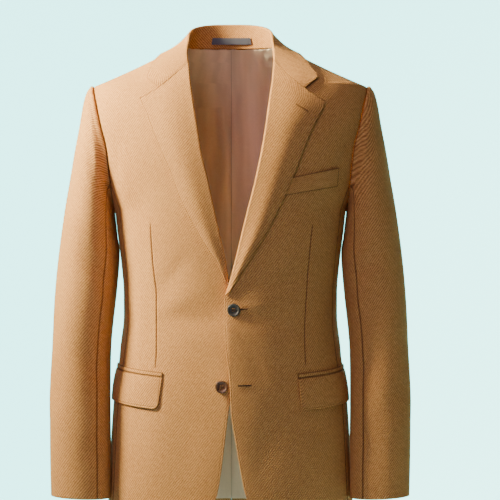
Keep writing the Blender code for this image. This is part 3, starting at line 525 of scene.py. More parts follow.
def make_front(name, side, edges, lapel, dart, creases, finishes):
    breaks = (lapel[1, 0] - BREAK_STEP, lapel[1, 0])
    levels = np.unique(np.concatenate((PANEL_LEVELS, breaks)).round(3))
    dart_share = 0.5

    def angles_at(u, z):
        inner = angle_at(front_edge_x(z, edges, lapel), z)
        outer = outer_angle(z, True)
        outer = outer - seam_turn(outer, z)
        middle = blend(angle_at(smooth_curve(dart, z), z), blend(inner, outer, dart_share),
                       np.maximum(smooth_step(-272, -190, z), 1 - smooth_step(-745, -600, z)))
        first = 1 - (1 - np.minimum(u / dart_share, 1)) ** 1.6
        second = np.maximum((u - dart_share) / (1 - dart_share), 0) ** 1.6
        return np.where(u < dart_share, blend(inner, middle, first), blend(middle, outer, second)), outer

    def dart_distance(u, v):
        z = level_at(levels, v)
        x = body_point(angles_at(u, z)[0], z)[..., 0]
        beyond = np.maximum(np.maximum(dart[0, 0] - z, z - dart[0, -1]), 0)
        return np.hypot((x - smooth_curve(dart, z)) * DART_SLOPE, beyond)

    def place(u, v, depth):
        z = level_at(levels, v)
        angle, outer = angles_at(u, z)
        here = body_point(angle, z)
        x = here[..., 0]
        outer_gap = np.linalg.norm(here - body_point(outer, z), axis=-1)
        dart_gap = np.abs(x - smooth_curve(dart, z)) * DART_SLOPE
        low, high = dart[0, 0], dart[0, -1]
        in_dart = smooth_step(low - 3, low + 12, z) * (1 - smooth_step(high - 14, high + 2, z))
        relief = crease_height(creases, x, z) * smooth_step(0, 26, outer_gap)
        relief = relief * smooth_step(4, 30, x - front_edge_x(z, edges, lapel))
        relief = relief + seam_dip(outer_gap)
        relief = relief + in_dart * (0.5 * np.exp(-(dart_gap / 7) ** 2) - 1.5 * np.exp(-(dart_gap / 1.1) ** 2))
        relief = np.where(z > lapel[1, 0] - 12, np.minimum(relief, 0.4), relief)
        return panel_offset(angle, z, side, relief - depth * CLOTH)

    return cloth_wall(name, (74, len(levels) - 1), CLOTH, place, finishes,
                      stitched=("left",), seams=("right",), line=dart_distance, weave=hang_straight(side, 100.0))


def make_side(name, side, finishes):
    def place(u, v, depth):
        angle = blend(FRONT_SIDE_SEAM, BACK_SIDE_SEAM, u)
        z = blend(HEM_Z, side_panel_top(angle) - SEAM, v)
        angle = angle + seam_turn(angle, z) * (1 - 2 * u)
        gap = np.minimum(u, 1 - u) * SIDE_WIDTH
        relief = seam_dip(gap) + crease_height(SIDE_CREASES, u * SIDE_WIDTH, z) * smooth_step(0, 20, gap)
        return body_offset(angle, z, side, relief - depth * CLOTH)

    return cloth_wall(name, (34, 110), CLOTH, place, finishes,
                      seams=("left", "right", "high"), grain=side)


def make_back(name, side, finishes):
    levels = PANEL_LEVELS

    def place(u, v, depth):
        z = level_at(levels, v)
        outer = outer_angle(z, False)
        outer = outer + seam_turn(outer, z)
        centre = angle_at(np.full(np.shape(z), SEAM / 2), z, False)
        angle = blend(outer, centre, blend(u, (1 - np.cos(math.pi * u)) / 2, 0.5))
        here = body_point(angle, z)
        gap = np.minimum(np.linalg.norm(here - body_point(outer, z), axis=-1), here[..., 0])
        turned = np.array(BACK_CREASES)
        turned[:, 1] += 14 if side < 0 else 0
        turned[:, 0] += 9 if side < 0 else 0
        relief = crease_height(turned, here[..., 0], z) * smooth_step(0, 24, gap) + seam_dip(gap)
        return body_offset(angle, z, side, relief - depth * CLOTH)

    return cloth_wall(name, (56, len(levels) - 1), CLOTH, place, finishes,
                      seams=("left", "right"), weave=hang_straight(side, 0.0))


# ---- lapels ----
def fold_section(across, width, hook, belly):
    """Place along the panel and height over it, for one line round the roll and out to the edge."""
    upper = LAPEL_CLEARANCE + LAPEL_CLOTH
    middle = upper - FOLD_RADIUS
    turn = math.pi * np.clip((across - HOOK_SHARE) / (ROLL_SHARE - HOOK_SHARE), 0, 1)
    share = np.clip((across - ROLL_SHARE) / (1 - ROLL_SHARE), 0, 1)
    reach = np.maximum(width, FOLD_RADIUS + 0.5)
    swell = belly * np.sin(math.pi * share) ** 1.5 * smooth_step(3, 40, width)
    in_hook, in_roll = across < HOOK_SHARE, across < ROLL_SHARE
    along = np.where(in_hook, blend(hook, FOLD_RADIUS, across / HOOK_SHARE),
                     np.where(in_roll, FOLD_RADIUS * (1 - np.sin(turn)), blend(FOLD_RADIUS, reach, share)))
    height = np.where(in_hook, middle - FOLD_RADIUS,
                      np.where(in_roll, middle - FOLD_RADIUS * np.cos(turn),
                               blend(upper, LAPEL_EDGE_LIFT, share) + swell))
    return along, height


def gorge_sag(share):
    """How far the lapel's top edge hangs below a straight line, by the share of the way from roll to tip."""
    return GORGE_SAG * np.sin(math.pi * share ** 0.9)


def lapel_surface(side, rows):
    last = rows.shape[1] - 1

    def surface(u, v):
        at = blend(v, 1 - (1 - v) ** 2, 0.25) * last
        roll_z = through_rows(rows[1], at)
        roll = np.stack((smooth_curve(rows[[1, 0]], roll_z), roll_z), axis=-1)
        run = np.stack((through_rows(rows[2], at), through_rows(rows[3], at)), axis=-1) - roll
        width = np.linalg.norm(run, axis=-1)
        hook = blend(LAPEL_END_HOOK, LAPEL_HOOK, smooth_step(0.0, 0.2, v))
        near_gorge = smooth_step(0.7, 1.0, v)
        along, height = fold_section(u, width, hook, blend(LAPEL_BELLY, COLLAR_CHEST_BELLY, near_gorge))
        place = roll + unit(run) * along[..., None]
        sag = gorge_sag(np.clip((u - ROLL_SHARE) / (1 - ROLL_SHARE), 0, 1)) * near_gorge
        return front_offset(place[..., 0], place[..., 1] - sag - SEAM * v, side, height)

    return surface


def spread_from_roll(laid, arc, upward):
    """The weave of a lapel, opened out flat from its roll as seen from the front."""
    roll = laid[np.arange(len(arc)), np.argmin(np.abs(arc), axis=1)][:, None]
    run = unit((laid[:, -1:] - roll) * (1, 0, 1))
    return roll[..., 0] + run[..., 0] * arc, roll[..., 2] + run[..., 2] * arc


def make_lapel(name, side, rows, finishes):
    surface = lapel_surface(side, rows)
    return cloth_wall(name, (56, 130), LAPEL_CLOTH, walled(surface, LAPEL_CLOTH, -side), finishes,
                      stitched=("right",), seams=("high",), weave=spread_from_roll, u_start=ROLL_SHARE)


# ---- collar ----
def by_side(side, left, right):
    return np.where(np.reshape(side, np.shape(side) + (1,)) > 0, left, right)


def gorge(side):
    """Start, direction and length of the lapel's top edge, seen from the front."""
    start = by_side(side, LEFT_LAPEL[:2, -1], RIGHT_LAPEL[:2, -1])
    run = by_side(side, LEFT_LAPEL[2:, -1], RIGHT_LAPEL[2:, -1]) - start
    return start, unit(run), np.linalg.norm(run, axis=-1, keepdims=True)


def collar_end(side, tip, across, along):
    start, direction, length = gorge(side)
    reach = np.clip((across - ROLL_SHARE) / (1 - ROLL_SHARE), 0, 1)[..., None]
    share = NOTCH_SHARE * np.minimum(reach / COLLAR_NOTCH_TURN, 1)
    outer = start + direction * blend(FOLD_RADIUS, length, share) - gorge_sag(share) * (0, 1)
    outer = blend(outer, tip, np.maximum(reach - COLLAR_NOTCH_TURN, 0) / (1 - COLLAR_NOTCH_TURN))
    return np.where((across <= ROLL_SHARE)[..., None], start + direction * along[..., None], outer)


def collar_on_chest(across, share, rows, side):
    tip = by_side(side, LEFT_COLLAR_TIP, RIGHT_COLLAR_TIP)
    near = np.maximum(0.0, 1 - share / COLLAR_END_SHARE) ** 2
    fold = np.stack((rows[0], np.minimum(rows[2], NECK_Z - 4)), axis=-1)
    fold = fold + (gorge(side)[0] - LEFT_LAPEL[:2, -1]) * near[..., None]
    angle = np.radians(np.minimum(rows[6], 88))
    edge = np.stack((body_point(angle, rows[7])[..., 0], rows[7]), axis=-1)
    edge = edge + (tip - LEFT_COLLAR_TIP) * near[..., None]
    run = edge - fold
    along, height = fold_section(across, np.linalg.norm(run, axis=-1), COLLAR_HOOK, COLLAR_CHEST_BELLY)
    place = fold + unit(run) * along[..., None]
    place = blend(place, collar_end(side, tip, across, along), near[..., None])
    return front_offset(place[..., 0], place[..., 1] + SEAM * near, side, height)


def collar_round_neck(across, rows, side):
    fold = points(side * rows[0], rows[1], rows[2] - COLLAR_FOLD_HALF)
    seat = points(side * rows[3], rows[4], rows[5])
    edge = body_offset(np.radians(rows[6]), rows[7], side, rows[8])
    outward = unit((edge - seat) * (1, 1, 0))
    stand = blend(seat, fold - outward * COLLAR_FOLD_HALF, np.minimum(across / STAND_SHARE, 1)[..., None])
    turn = math.pi * np.clip((across - STAND_SHARE) / (ROLL_SHARE - STAND_SHARE), 0, 1)[..., None]
    roll = fold + COLLAR_FOLD_HALF * (np.sin(turn) * (0, 0, 1) - np.cos(turn) * outward)
    reach = np.clip((across - ROLL_SHARE) / (1 - ROLL_SHARE), 0, 1)[..., None]
    fall = blend(fold + outward * COLLAR_FOLD_HALF, edge, reach)
    fall = fall + (outward + (0, 0, 1)) * rows[9][..., None] * np.sin(math.pi * reach)
    across = across[..., None]
    return np.where(across < STAND_SHARE, stand, np.where(across < ROLL_SHARE, roll, fall))


# The collar's row past the centre is the one before it, mirrored, so that the collar runs level over the centre.
COLLAR_MIRROR = np.array((-1, 1, 1, -1, 1, 1, -1, 1, 1, 1))
COLLAR_MIRROR_TURN = np.array((0, 0, 0, 0, 0, 0, 360, 0, 0, 0))


def collar_surface(u, v):
    """The collar's outer face: u from the stand's seat over the fold to the fall's edge, v round the neck."""
    u, v = np.broadcast_arrays(np.asarray(u, float), np.asarray(v, float))
    side = np.where(v < 0.5, 1, -1)
    share = 1 - np.abs(2 * v - 1)
    beyond = COLLAR_ROWS[:, -2] * COLLAR_MIRROR + COLLAR_MIRROR_TURN
    rows = [through_rows(column, share * (COLLAR_ROWS.shape[1] - 1))
            for column in np.column_stack((COLLAR_ROWS, beyond))]
    standing = smooth_step(COLLAR_LIES_FLAT, COLLAR_STANDS_UP, share)[..., None]
    return blend(collar_on_chest(u, share, rows, side), collar_round_neck(u, rows, side), standing)


COLLAR_CELLS = (56, 190)
COLLAR_GRAIN_COLUMN = 40    # the weave is measured round the neck along this column of the fall
STAND_HEIGHT = 38.0         # of the collar's stand, about


def make_collar(finishes):
    def weave(laid, arc, upward):
        round_neck = upward[:, [COLLAR_GRAIN_COLUMN]]
        return arc, np.broadcast_to(round_neck - round_neck[COLLAR_CELLS[1] // 2], arc.shape)

    def stand_line(u, v):
        """Distance from the stitches of the stand, which run only behind the neck."""
        off_centre = smooth_step(0.12, 0.2, np.abs(v - 0.5))
        return np.abs(u / STAND_SHARE - STITCH_LINE_SHARE) * STAND_HEIGHT + 900 * off_centre

    return cloth_wall("collar_cloth", COLLAR_CELLS, LAPEL_CLOTH, walled(collar_surface, LAPEL_CLOTH, -1), finishes,
                      stitched=("right", "low", "high"), line=stand_line, weave=weave, u_start=ROLL_SHARE)


# ---- sleeves ----
def sleeve_point(angle, along, side):
    """Outer face of a sleeve: angle 0 is its outer side and 90 degrees its front; along counts rings."""
    outer_x, outer_z, inner_x, inner_z, centre_y, half_depth = [through_rows(c, along) for c in SLEEVE_RINGS]
    share = (1 + np.cos(angle)) / 2
    x = blend(inner_x, outer_x, share)
    z = blend(inner_z, outer_z, share)
    y = centre_y - half_depth * np.sin(angle)
    seam_z = blend(SLEEVE_RINGS[3, 0], SLEEVE_RINGS[1, 0], share)
    straight = blend(SLEEVE_RINGS[2, 0], SLEEVE_RINGS[0, 0], share)
    bend = smooth_curve(BODY_LEVELS[[0, 1]], seam_z) - straight
    x = x + bend * np.maximum(0.0, 1 - along / 3) ** 2 + 1.2 * SEAM
    centre = points((inner_x + outer_x) / 2, centre_y, (inner_z + outer_z) / 2)
    degrees = np.degrees(angle)
    fold = np.zeros(np.shape(x))
    for place, around, depth, length, width in SLEEVE_FOLDS:
        turn = (degrees - around) / width
        fold = fold + depth * bump((along - place - 0.4 * turn) / length) * bump(turn)
    for place, around, depth, length, width, slant in SLEEVE_CREASES:
        turn = ((degrees - around + 180) % 360 - 180) / width
        fold = fold + depth * bump((along - place - slant * turn) / length) * bump(turn)
    head = 1.6 * bump((along - 0.75) / 0.75) * smooth_step(-0.2, 0.7, np.cos(angle))
    dip = seam_dip(along * 6.0, 0.8, 1.6)
    here = points(x, y, z)
    here = here + unit(here - centre) * (head + dip - fold)[..., None]
    return here * (side, 1, 1)


def make_sleeve_piece(name, side, angles, columns, finishes):
    steps = np.concatenate((np.linspace(0, 1, 13)[:-1] ** 1.3, np.linspace(1, 12, 118)))

    def surface(u, v):
        angle = blend(angles[0] + 0.001, angles[1] - 0.001, u)
        along = level_at(steps, v)
        here = sleeve_point(angle, along, side)
        gap = np.minimum(u, 1 - u) * (angles[1] - angles[0]) * SLEEVE_RADIUS
        centre = sleeve_point(angle + math.pi, along, side)
        return here + unit(here - centre) * seam_dip(gap)[..., None]

    def weave(laid, arc, upward):
        """The rings slope, so the weave runs level round the sleeve and follows its length down."""
        level = np.linalg.norm(np.diff(laid[..., :2], axis=1), axis=-1)
        level = np.pad(np.cumsum(level, axis=1), ((0, 0), (1, 0)))
        return -side * (level - level[:, [columns // 2]]), laid[:1, :, 2] - upward

    return cloth_wall(name, (columns, len(steps) - 1), CLOTH, walled(surface, CLOTH, -side), finishes,
                      seams=("left", "right", "low"), weave=weave, u_start=0.5)


# ---- pockets ----
def flap_place(flap, share, drop):
    """Angle and height on a flap: share runs to its rear end, drop is measured down from its top."""
    z = flap[2] + FLAP_RISE * share - drop
    front_x = blend(flap[0], flap[1], drop / flap[3])
    return blend(angle_at(front_x, z), FLAP_REAR_ANGLE, share), z


def make_flap(name, side, flap, finishes):
    def place(u, v, depth):
        share = blend(u, (1 - np.cos(math.pi * u)) / 2, 0.6)
        reach = np.minimum(share, 1 - share) * FLAP_LENGTH
        rise = FLAP_CORNER - np.sqrt(FLAP_CORNER ** 2 - np.maximum(FLAP_CORNER - reach, 0) ** 2)
        angle, z = flap_place(flap, share, (1 - v) * (flap[3] - rise))
        out = POCKET_CLEARANCE + FLAP_FLARE * (1 - v) + FLAP_CLOTH * (1 - depth)
        out = out + 0.9 * np.sin(math.pi * v) * np.sin(2.6 * math.pi * u + side) + seam_dip((1 - v) * 50, 0.9, 2.0)
        return panel_offset(angle, z, side, out)

    return cloth_wall(name, (70, 28), FLAP_CLOTH, place, finishes,
                      stitched=("left", "right", "low"), seams=("high",), grain=side)


def make_jet(name, side, flap, finishes):
    def place(u, v, depth):
        angle, z = flap_place(flap, u, 0.0)
        out = POCKET_CLEARANCE + JET_CLOTH * (1 - depth) + 0.5 * np.sin(math.pi * v)
        return panel_offset(angle, z + SOLID_SEAM + JET_HEIGHT * v, side, out)

    return cloth_wall(name, (60, 6), JET_CLOTH, place, finishes,
                      seams=("left", "right", "low", "high"), grain=side)


def make_welt(finishes):
    def place(u, v, depth):
        low = blend(WELT_CORNERS[0], WELT_CORNERS[1], u[..., None])
        high = blend(WELT_CORNERS[2], WELT_CORNERS[3], u[..., None])
        here = blend(low, high, v[..., None])
        out = SOLID_SEAM + WELT_CLOTH * (1 - depth) + seam_dip(v * 28, 0.6, 1.5)
        return front_offset(here[..., 0], here[..., 1], 1, out)

    return cloth_wall("chest_welt_cloth", (50, 16), WELT_CLOTH, place, finishes,
                      stitched=("left", "right"), seams=("left", "right", "low", "high"))


# ---- lining and hanger loop ----
def make_lining(name, side, finishes):
    levels = np.unique(np.concatenate((
        np.linspace(HEM_Z + LINING_RISE, ARMHOLE_LOW_Z, 70), ARMHOLE_LEVELS,
        np.linspace(SHOULDER_TIP_Z, LINING_TOP_Z + LINING_OVERLAP, 24))).round(3))

    def place(u, v, depth):
        z = level_at(levels, v)
        outer = outer_angle(z, False)
        outer = outer + seam_turn(outer, z, LINING_SIDE_GAP)
        inner_x = np.full(np.shape(z), 0.0 if side > 0 else -PLEAT_UNDERLAP)
        angle = blend(outer, angle_at(inner_x, z, False), u)
        x = body_point(angle, z)[..., 0]
        tuck = np.where(side > 0, (LINING_CLOTH + 0.9) * (1 - smooth_step(12, 30, x)), 0.0)
        puckers = 0.9 * np.sin(x / 3.2 + 1.3 * np.sin(x / 9)) * smooth_step(-34, LINING_TOP_Z - 3, z)
        folds = 3.2 * np.exp(-((x - 15 - side * 4 + z / 60) / 9) ** 2) + 3.6 * np.exp(-((x - 40 + z / 45) / 10) ** 2)
        folds = folds * (0.7 + 0.3 * np.sin(z / 60 + side)) * (1 - smooth_step(-34, 0, z))
        tug = np.hypot(x - TUG_CENTRE[0], z - TUG_CENTRE[1]) if side > 0 else np.full(np.shape(x), FAR)
        folds = folds + 1.6 * np.exp(-((tug - 11) / 3.4) ** 2) + 1.8 * np.exp(-((tug - 25) / 4.5) ** 2)
        inward = CLOTH + LINING_CLEARANCE + tuck + np.maximum(folds + puckers, 0) + depth * LINING_CLOTH
        return body_offset(angle, z, side, -inward)

    return cloth_wall(name, (60, len(levels) - 1), LINING_CLOTH, place, finishes, outer=1.0,
                      seams=("right",) if side > 0 else (), weave=hang_straight(side, 0.0))


def make_hanger_loop(finishes):
    def place(u, v, depth):
        along = blend(LOOP_ENDS[0], LOOP_ENDS[1], u)
        foot = collar_surface(np.zeros(np.shape(u)), along)
        head = collar_surface(np.full(np.shape(u), STAND_SHARE), along)
        z = LOOP_LOW_Z + LOOP_HEIGHT * v
        here = blend(foot, head, ((z - foot[..., 2]) / (head[..., 2] - foot[..., 2]))[..., None])
        ends = smooth_step(0.0, 0.1, u) * smooth_step(0.0, 0.1, 1 - u)
        out = 0.5 + (LOOP_CLEARANCE - 0.5 + LOOP_BOW * np.sin(math.pi * u)) * ends + LOOP_RIBBON * depth
        return here - points(0, out, 0)

    return cloth_wall("hanger_loop_ribbon", (60, 10), LOOP_RIBBON, place, finishes, outer=1.0,
                      stitched=("left", "right"))


# ---- buttons, threads and buttonholes ----
def front_frame(x, z, side, out):
    """Place and turn of something that sits on a front, as a matrix in metres."""
    x, z = np.array([float(x)]), np.array([float(z)])
    seat = front_offset(x, z, side, np.array([out]))[0]
    facing = Vector(front_offset(x, z, side, np.array([out + 1.0]))[0] - seat)
    turn = facing.to_track_quat("Z", "Y").to_matrix().to_4x4()
    return Matrix.Translation(Vector(seat) * MM) @ turn


BUTTON_SEAT = 0.3       # clear of the cloth
HOLE_RADIUS = 1.0
HOLE_SPREAD = 2.2       # from the button's centre to a hole's
STRAND_RADIUS = 0.26
STRAND_GAP = 0.34
STRAND_HEIGHT = 1.6
# A button's turned half section: radius, height.
BUTTON_PROFILE = (
    (0, 2.6), (2.2, 2.6), (4.4, 2.55), (5.6, 2.6), (6.3, 2.8), (7.0, 3.4), (7.8, 3.85), (8.6, 4.0), (9.3, 3.8),
    (9.8, 3.2), (10.0, 2.4), (9.9, 1.6), (9.3, 0.9), (8.2, 0.4), (6.0, 0.15), (0, 0.1),
)


def make_button(name, side, spot, finishes):
    """A turned horn button with a raised rim and four holes through it."""
    button = bmesh.new()
    ring = [button.verts.new((r * MM, 0, h * MM)) for r, h in BUTTON_PROFILE]
    line = [button.edges.new(pair) for pair in zip(ring, ring[1:])]
    bmesh.ops.spin(button, geom=ring + line, cent=(0, 0, 0), axis=(0, 0, 1), angle=math.tau, steps=72,
                   use_merge=True)
    bmesh.ops.remove_doubles(button, verts=button.verts, dist=0.00002)
    bmesh.ops.recalc_face_normals(button, faces=button.faces[:])
    drill = bmesh.new()
    for turn in range(4):
        angle = math.radians(45 + 90 * turn)
        hole = bmesh.ops.create_cone(drill, cap_ends=True, segments=20, radius1=HOLE_RADIUS * MM,
                                     radius2=HOLE_RADIUS * MM, depth=16 * MM)
        bmesh.ops.translate(drill, verts=hole["verts"],
                            vec=(HOLE_SPREAD * MM * math.cos(angle), HOLE_SPREAD * MM * math.sin(angle), 0))
    piece = finish_piece(name, as_mesh(button, name), finishes)
    cutter = finish_piece(name + "_drill", as_mesh(drill, name), ())
    holes = piece.modifiers.new("thread_holes", "BOOLEAN")
    holes.operation = "DIFFERENCE"
    holes.object = cutter
    bpy.context.view_layer.update()
    drilled = bpy.data.meshes.new_from_object(piece.evaluated_get(bpy.context.evaluated_depsgraph_get()))
    piece.modifiers.clear()
    piece.data = drilled
    bpy.data.objects.remove(cutter)
    drilled.transform(front_frame(*spot, side, BUTTON_SEAT))
    drilled.shade_smooth()
    drilled.set_sharp_from_angle(angle=math.radians(40))
    return piece


def make_thread(name, side, spot, finishes):
    """Sewing thread: two bundles of three strands, each arched from one hole of a button to the next."""
    thread = bmesh.new()
    reach = HOLE_SPREAD * MM * math.sqrt(0.5)
    for side_x in (-1, 1):
        for strand in (-1, 0, 1):
            ring = bmesh.ops.create_circle(thread, cap_ends=False, segments=8, radius=STRAND_RADIUS * MM)["verts"]
            spot_x = side_x * reach + strand * STRAND_GAP * MM
            bmesh.ops.translate(thread, verts=ring, vec=(spot_x, reach, STRAND_HEIGHT * MM))
            edges = [edge for edge in thread.edges if all(vert in ring for vert in edge.verts)]
            bmesh.ops.spin(thread, geom=ring + edges, cent=(spot_x, 0, STRAND_HEIGHT * MM), axis=(1, 0, 0),
                           angle=math.pi, steps=14)
    bmesh.ops.recalc_face_normals(thread, faces=thread.faces[:])
    mesh = as_mesh(thread, name)
    mesh.transform(front_frame(*spot, side, BUTTON_SEAT))
    return finish_piece(name, mesh, finishes)


def make_buttonhole(name, start, end, over, eyelet, finishes):
    """A worked buttonhole: a ring of close stitches round a slit that is a dark sheet of painted shade.

    over(x, z, out) gives points over the cloth it is worked in; start is the eyelet's end.
    """
    start, end = np.array(start, float), np.array(end, float)
    length = float(np.linalg.norm(end - start))
    direction = (end - start) / length
    square = np.array((-direction[1], direction[0]))
    columns, around = 240, 8
    rope = bmesh.new()
    bmesh.ops.create_grid(rope, x_segments=columns, y_segments=around, size=0.5)
    flat = places_of(rope.verts)
    turn = (flat[:, 0] + 0.5) * math.tau
    tube = (flat[:, 1] + 0.5) * math.tau
    wide = 0.85 + eyelet * np.exp(-((np.cos(turn) + 1) / 0.12) ** 2)
    along = length / 2 * (1 + np.sign(np.cos(turn)) * np.abs(np.cos(turn)) ** 0.6)
    aside = wide * np.sign(np.sin(turn)) * np.abs(np.sin(turn)) ** 0.45
    thick = 0.55 * (1 + 0.22 * np.sin(turn * 29))
    outward = np.stack((np.cos(turn), np.sin(turn)), axis=-1)
    ring = np.stack((along, aside), axis=-1) + outward * (thick * np.cos(tube))[:, None]
    spot = start + ring[:, :1] * direction + ring[:, 1:] * square
    put = over(spot[:, 0], spot[:, 1], 0.25 + thick * (0.6 + np.sin(tube) * 0.75)) * MM
    move_to(rope.verts, put)
    bmesh.ops.remove_doubles(rope, verts=rope.verts, dist=0.000005)
    bmesh.ops.recalc_face_normals(rope, faces=rope.faces[:])
    # The slit is a thin sheet in a dark finish, painted shade where the cut would lie in shadow.
    slit_shade = bmesh.ops.create_grid(rope, x_segments=40, y_segments=2, size=0.5)["verts"]
    flat = places_of(slit_shade)
    share = flat[:, 0] + 0.5
    wide = 0.75 + eyelet * np.exp(-(share / 0.09) ** 2)
    spot = start + (share * length)[:, None] * direction + (flat[:, 1] * 2 * wide)[:, None] * square
    put = over(spot[:, 0], spot[:, 1], np.full(len(share), 0.28)) * MM
    move_to(slit_shade, put)
    for vert in slit_shade:
        for face in vert.link_faces:
            face.material_index = 1
    return finish_piece(name, as_mesh(rope, name), finishes)


def over_left_front(x, z, out):
    return front_offset(x, z, 1, out)


def over_left_lapel(x, z, out):
    """Points over the left lapel's outer face, by their place seen from the front."""
    surface = lapel_surface(1, LEFT_LAPEL)
    u_grid, v_grid = np.meshgrid(np.linspace(ROLL_SHARE + 0.05, 1, 90), np.linspace(0.5, 1, 160))
    laid = surface(u_grid, v_grid).reshape(-1, 3)
    step = 0.004
    across = surface(u_grid, v_grid) - surface(u_grid - step, v_grid)
    upward = surface(u_grid, v_grid) - surface(u_grid, v_grid - step)
    normal = unit(np.cross(across, upward)).reshape(-1, 3)
    normal = normal * np.where(normal[:, 1:2] > 0, -1, 1)
    put = np.empty((len(x), 3))
    for index, (spot_x, spot_z) in enumerate(zip(x, z)):
        gap = (laid[:, 0] - spot_x) ** 2 + (laid[:, 2] - spot_z) ** 2
        near = np.argpartition(gap, 4)[:4]
        weight = 1 / (gap[near] + 0.01)
        y = np.sum(laid[near, 1] * weight) / weight.sum()
        put[index] = np.array((spot_x, y, spot_z)) + normal[near[0]] * out[index]
    return put


# ---- shader groups ----
def new_group(name, inputs, outputs):
    """An empty shader node group with its sockets: (name, kind, default) each."""
    group = bpy.data.node_groups.new(name, "ShaderNodeTree")
    for label, kind, default in inputs:
        socket = group.interface.new_socket(label, in_out="INPUT", socket_type=kind)
        if default is not None:
            socket.default_value = default
    for label, kind in outputs:
        group.interface.new_socket(label, in_out="OUTPUT", socket_type=kind)
    return group, group.nodes.new("NodeGroupInput"), group.nodes.new("NodeGroupOutput")


class Wiring:
    """Short ways to add and join nodes in a tree."""

    def __init__(self, tree):
        self.tree = tree

    def join(self, value, socket):
        if isinstance(value, bpy.types.NodeSocket):
            self.tree.links.new(value, socket)
        elif value is not None:
            socket.default_value = value

    def math(self, operation, *values):
        node = self.tree.nodes.new("ShaderNodeMath")
        node.operation = operation
        for value, socket in zip(values, node.inputs):
            self.join(value, socket)
        return node.outputs[0]

    def sway(self, value, share, base):
        """A base value, moved up or down by a share of how far another is from a half."""
        return self.math("MULTIPLY_ADD", self.math("SUBTRACT", value, 0.5), share, base)

    def wave(self, place):
        """A cosine from 0 to 1, once for each unit of place."""
        return self.math("MULTIPLY_ADD", self.math("COSINE", self.math("MULTIPLY", place, math.tau)), 0.5, 0.5)

    def noise(self, place, scale, detail=2.0, rough=0.5):
        node = self.tree.nodes.new("ShaderNodeTexNoise")
        self.join(place, node.inputs["Vector"])
        self.join(scale, node.inputs["Scale"])
        node.inputs["Detail"].default_value = detail
        node.inputs["Roughness"].default_value = rough
        return node.outputs["Fac"]

    def mapping(self, place, scale=(1, 1, 1), turn=0.0):
        node = self.tree.nodes.new("ShaderNodeMapping")
        self.join(place, node.inputs["Vector"])
        node.inputs["Scale"].default_value = scale
        node.inputs["Rotation"].default_value = (0, 0, turn)
        return node.outputs[0]

    def split(self, place):
        node = self.tree.nodes.new("ShaderNodeSeparateXYZ")
        self.join(place, node.inputs[0])
        return node.outputs

    def mix(self, share, low, high):
        node = self.tree.nodes.new("ShaderNodeMix")
        node.data_type = "RGBA"
        self.join(share, node.inputs[0])
        for colour, socket in ((low, node.inputs[6]), (high, node.inputs[7])):
            self.join(colour if isinstance(colour, bpy.types.NodeSocket) else (*colour, 1), socket)
        return node.outputs[2]

    def ramp(self, value, low, high, to_low=0.0, to_high=1.0):
        node = self.tree.nodes.new("ShaderNodeMapRange")
        node.interpolation_type = "SMOOTHSTEP"
        for item, socket in zip((value, low, high, to_low, to_high), node.inputs):
            self.join(item, socket)
        return node.outputs[0]

    def bump(self, height, distance, strength, normal=None):
        node = self.tree.nodes.new("ShaderNodeBump")
        self.join(height, node.inputs["Height"])
        node.inputs["Distance"].default_value = distance
        node.inputs["Strength"].default_value = strength
        self.join(normal, node.inputs["Normal"])
        return node.outputs[0]


def twill_group():
    """Diagonal wales of a brushed wool twill, with yarn fleck and nap."""
    group, given, made = new_group("brushed_twill", (
        ("Cloth", "NodeSocketVector", None), ("Pitch", "NodeSocketFloat", 0.0032), ("Nap", "NodeSocketFloat", 0.4),
    ), (("Tone", "NodeSocketFloat"), ("Height", "NodeSocketFloat")))
    w = Wiring(group)
    wobble = w.noise(given.outputs["Cloth"], 90.0, 2.0)
    turned = w.mapping(given.outputs["Cloth"], turn=math.radians(-52))
    x, y, _ = w.split(turned)
    place = w.math("ADD", w.math("DIVIDE", y, given.outputs["Pitch"]), w.math("MULTIPLY", wobble, 0.7))
    wale = w.wave(place)
    number = w.math("FLOOR", place)
    yarn = w.math("ADD", w.math("DIVIDE", x, 0.0026), w.math("MULTIPLY", number, 0.37))
    stitch = w.wave(yarn)
    stretched = w.mapping(turned, scale=(0.45, 1.0, 1.0))
    fibre = w.noise(stretched, 1500.0, 3.0, 0.65)
    fleck = w.noise(stretched, 620.0, 2.0, 0.6)
    mottle = w.noise(given.outputs["Cloth"], 160.0, 3.0, 0.6)
    relief = w.math("MULTIPLY_ADD", stitch, 0.28, w.math("MULTIPLY", wale, 0.72))
    height = w.math("MULTIPLY_ADD", fibre, given.outputs["Nap"], relief)
    tone = w.sway(relief, 0.72, 0.5)
    tone = w.sway(fleck, 0.8, tone)
    tone = w.sway(fibre, 0.6, tone)
    tone = w.sway(mottle, 0.45, tone)
    w.join(tone, made.inputs["Tone"])
    w.join(height, made.inputs["Height"])
    return group


def stitch_group():
    """A row of small stitches that follows an edge: 1 on a stitch."""
    group, given, made = new_group("edge_stitches", (
        ("Stitch", "NodeSocketVector", None), ("Inset", "NodeSocketFloat", 0.003),
        ("Length", "NodeSocketFloat", 0.005),
    ), (("Mask", "NodeSocketFloat"), ("Channel", "NodeSocketFloat")))
    w = Wiring(group)
    run, gap, _ = w.split(given.outputs["Stitch"])
    off = w.math("ABSOLUTE", w.math("SUBTRACT", gap, given.outputs["Inset"]))
    line = w.ramp(off, 0.0003, 0.0008, 1.0, 0.0)
    beat = w.math("FRACT", w.math("DIVIDE", run, given.outputs["Length"]))
    dash = w.ramp(w.math("ABSOLUTE", w.math("SUBTRACT", beat, 0.5)), 0.16, 0.24, 1.0, 0.0)
    w.join(w.math("MULTIPLY", line, dash), made.inputs["Mask"])
    w.join(w.ramp(off, 0.0, 0.0018, 1.0, 0.0), made.inputs["Channel"])
    return group


def place_group(w, group, uv, **values):
    node = w.tree.nodes.new("ShaderNodeGroup")
    node.node_tree = group
    w.join(uv, node.inputs[0])
    for label, value in values.items():
        w.join(value, node.inputs[label])
    return node.outputs


def scaled(colour, share):
    return [value * share for value in colour]


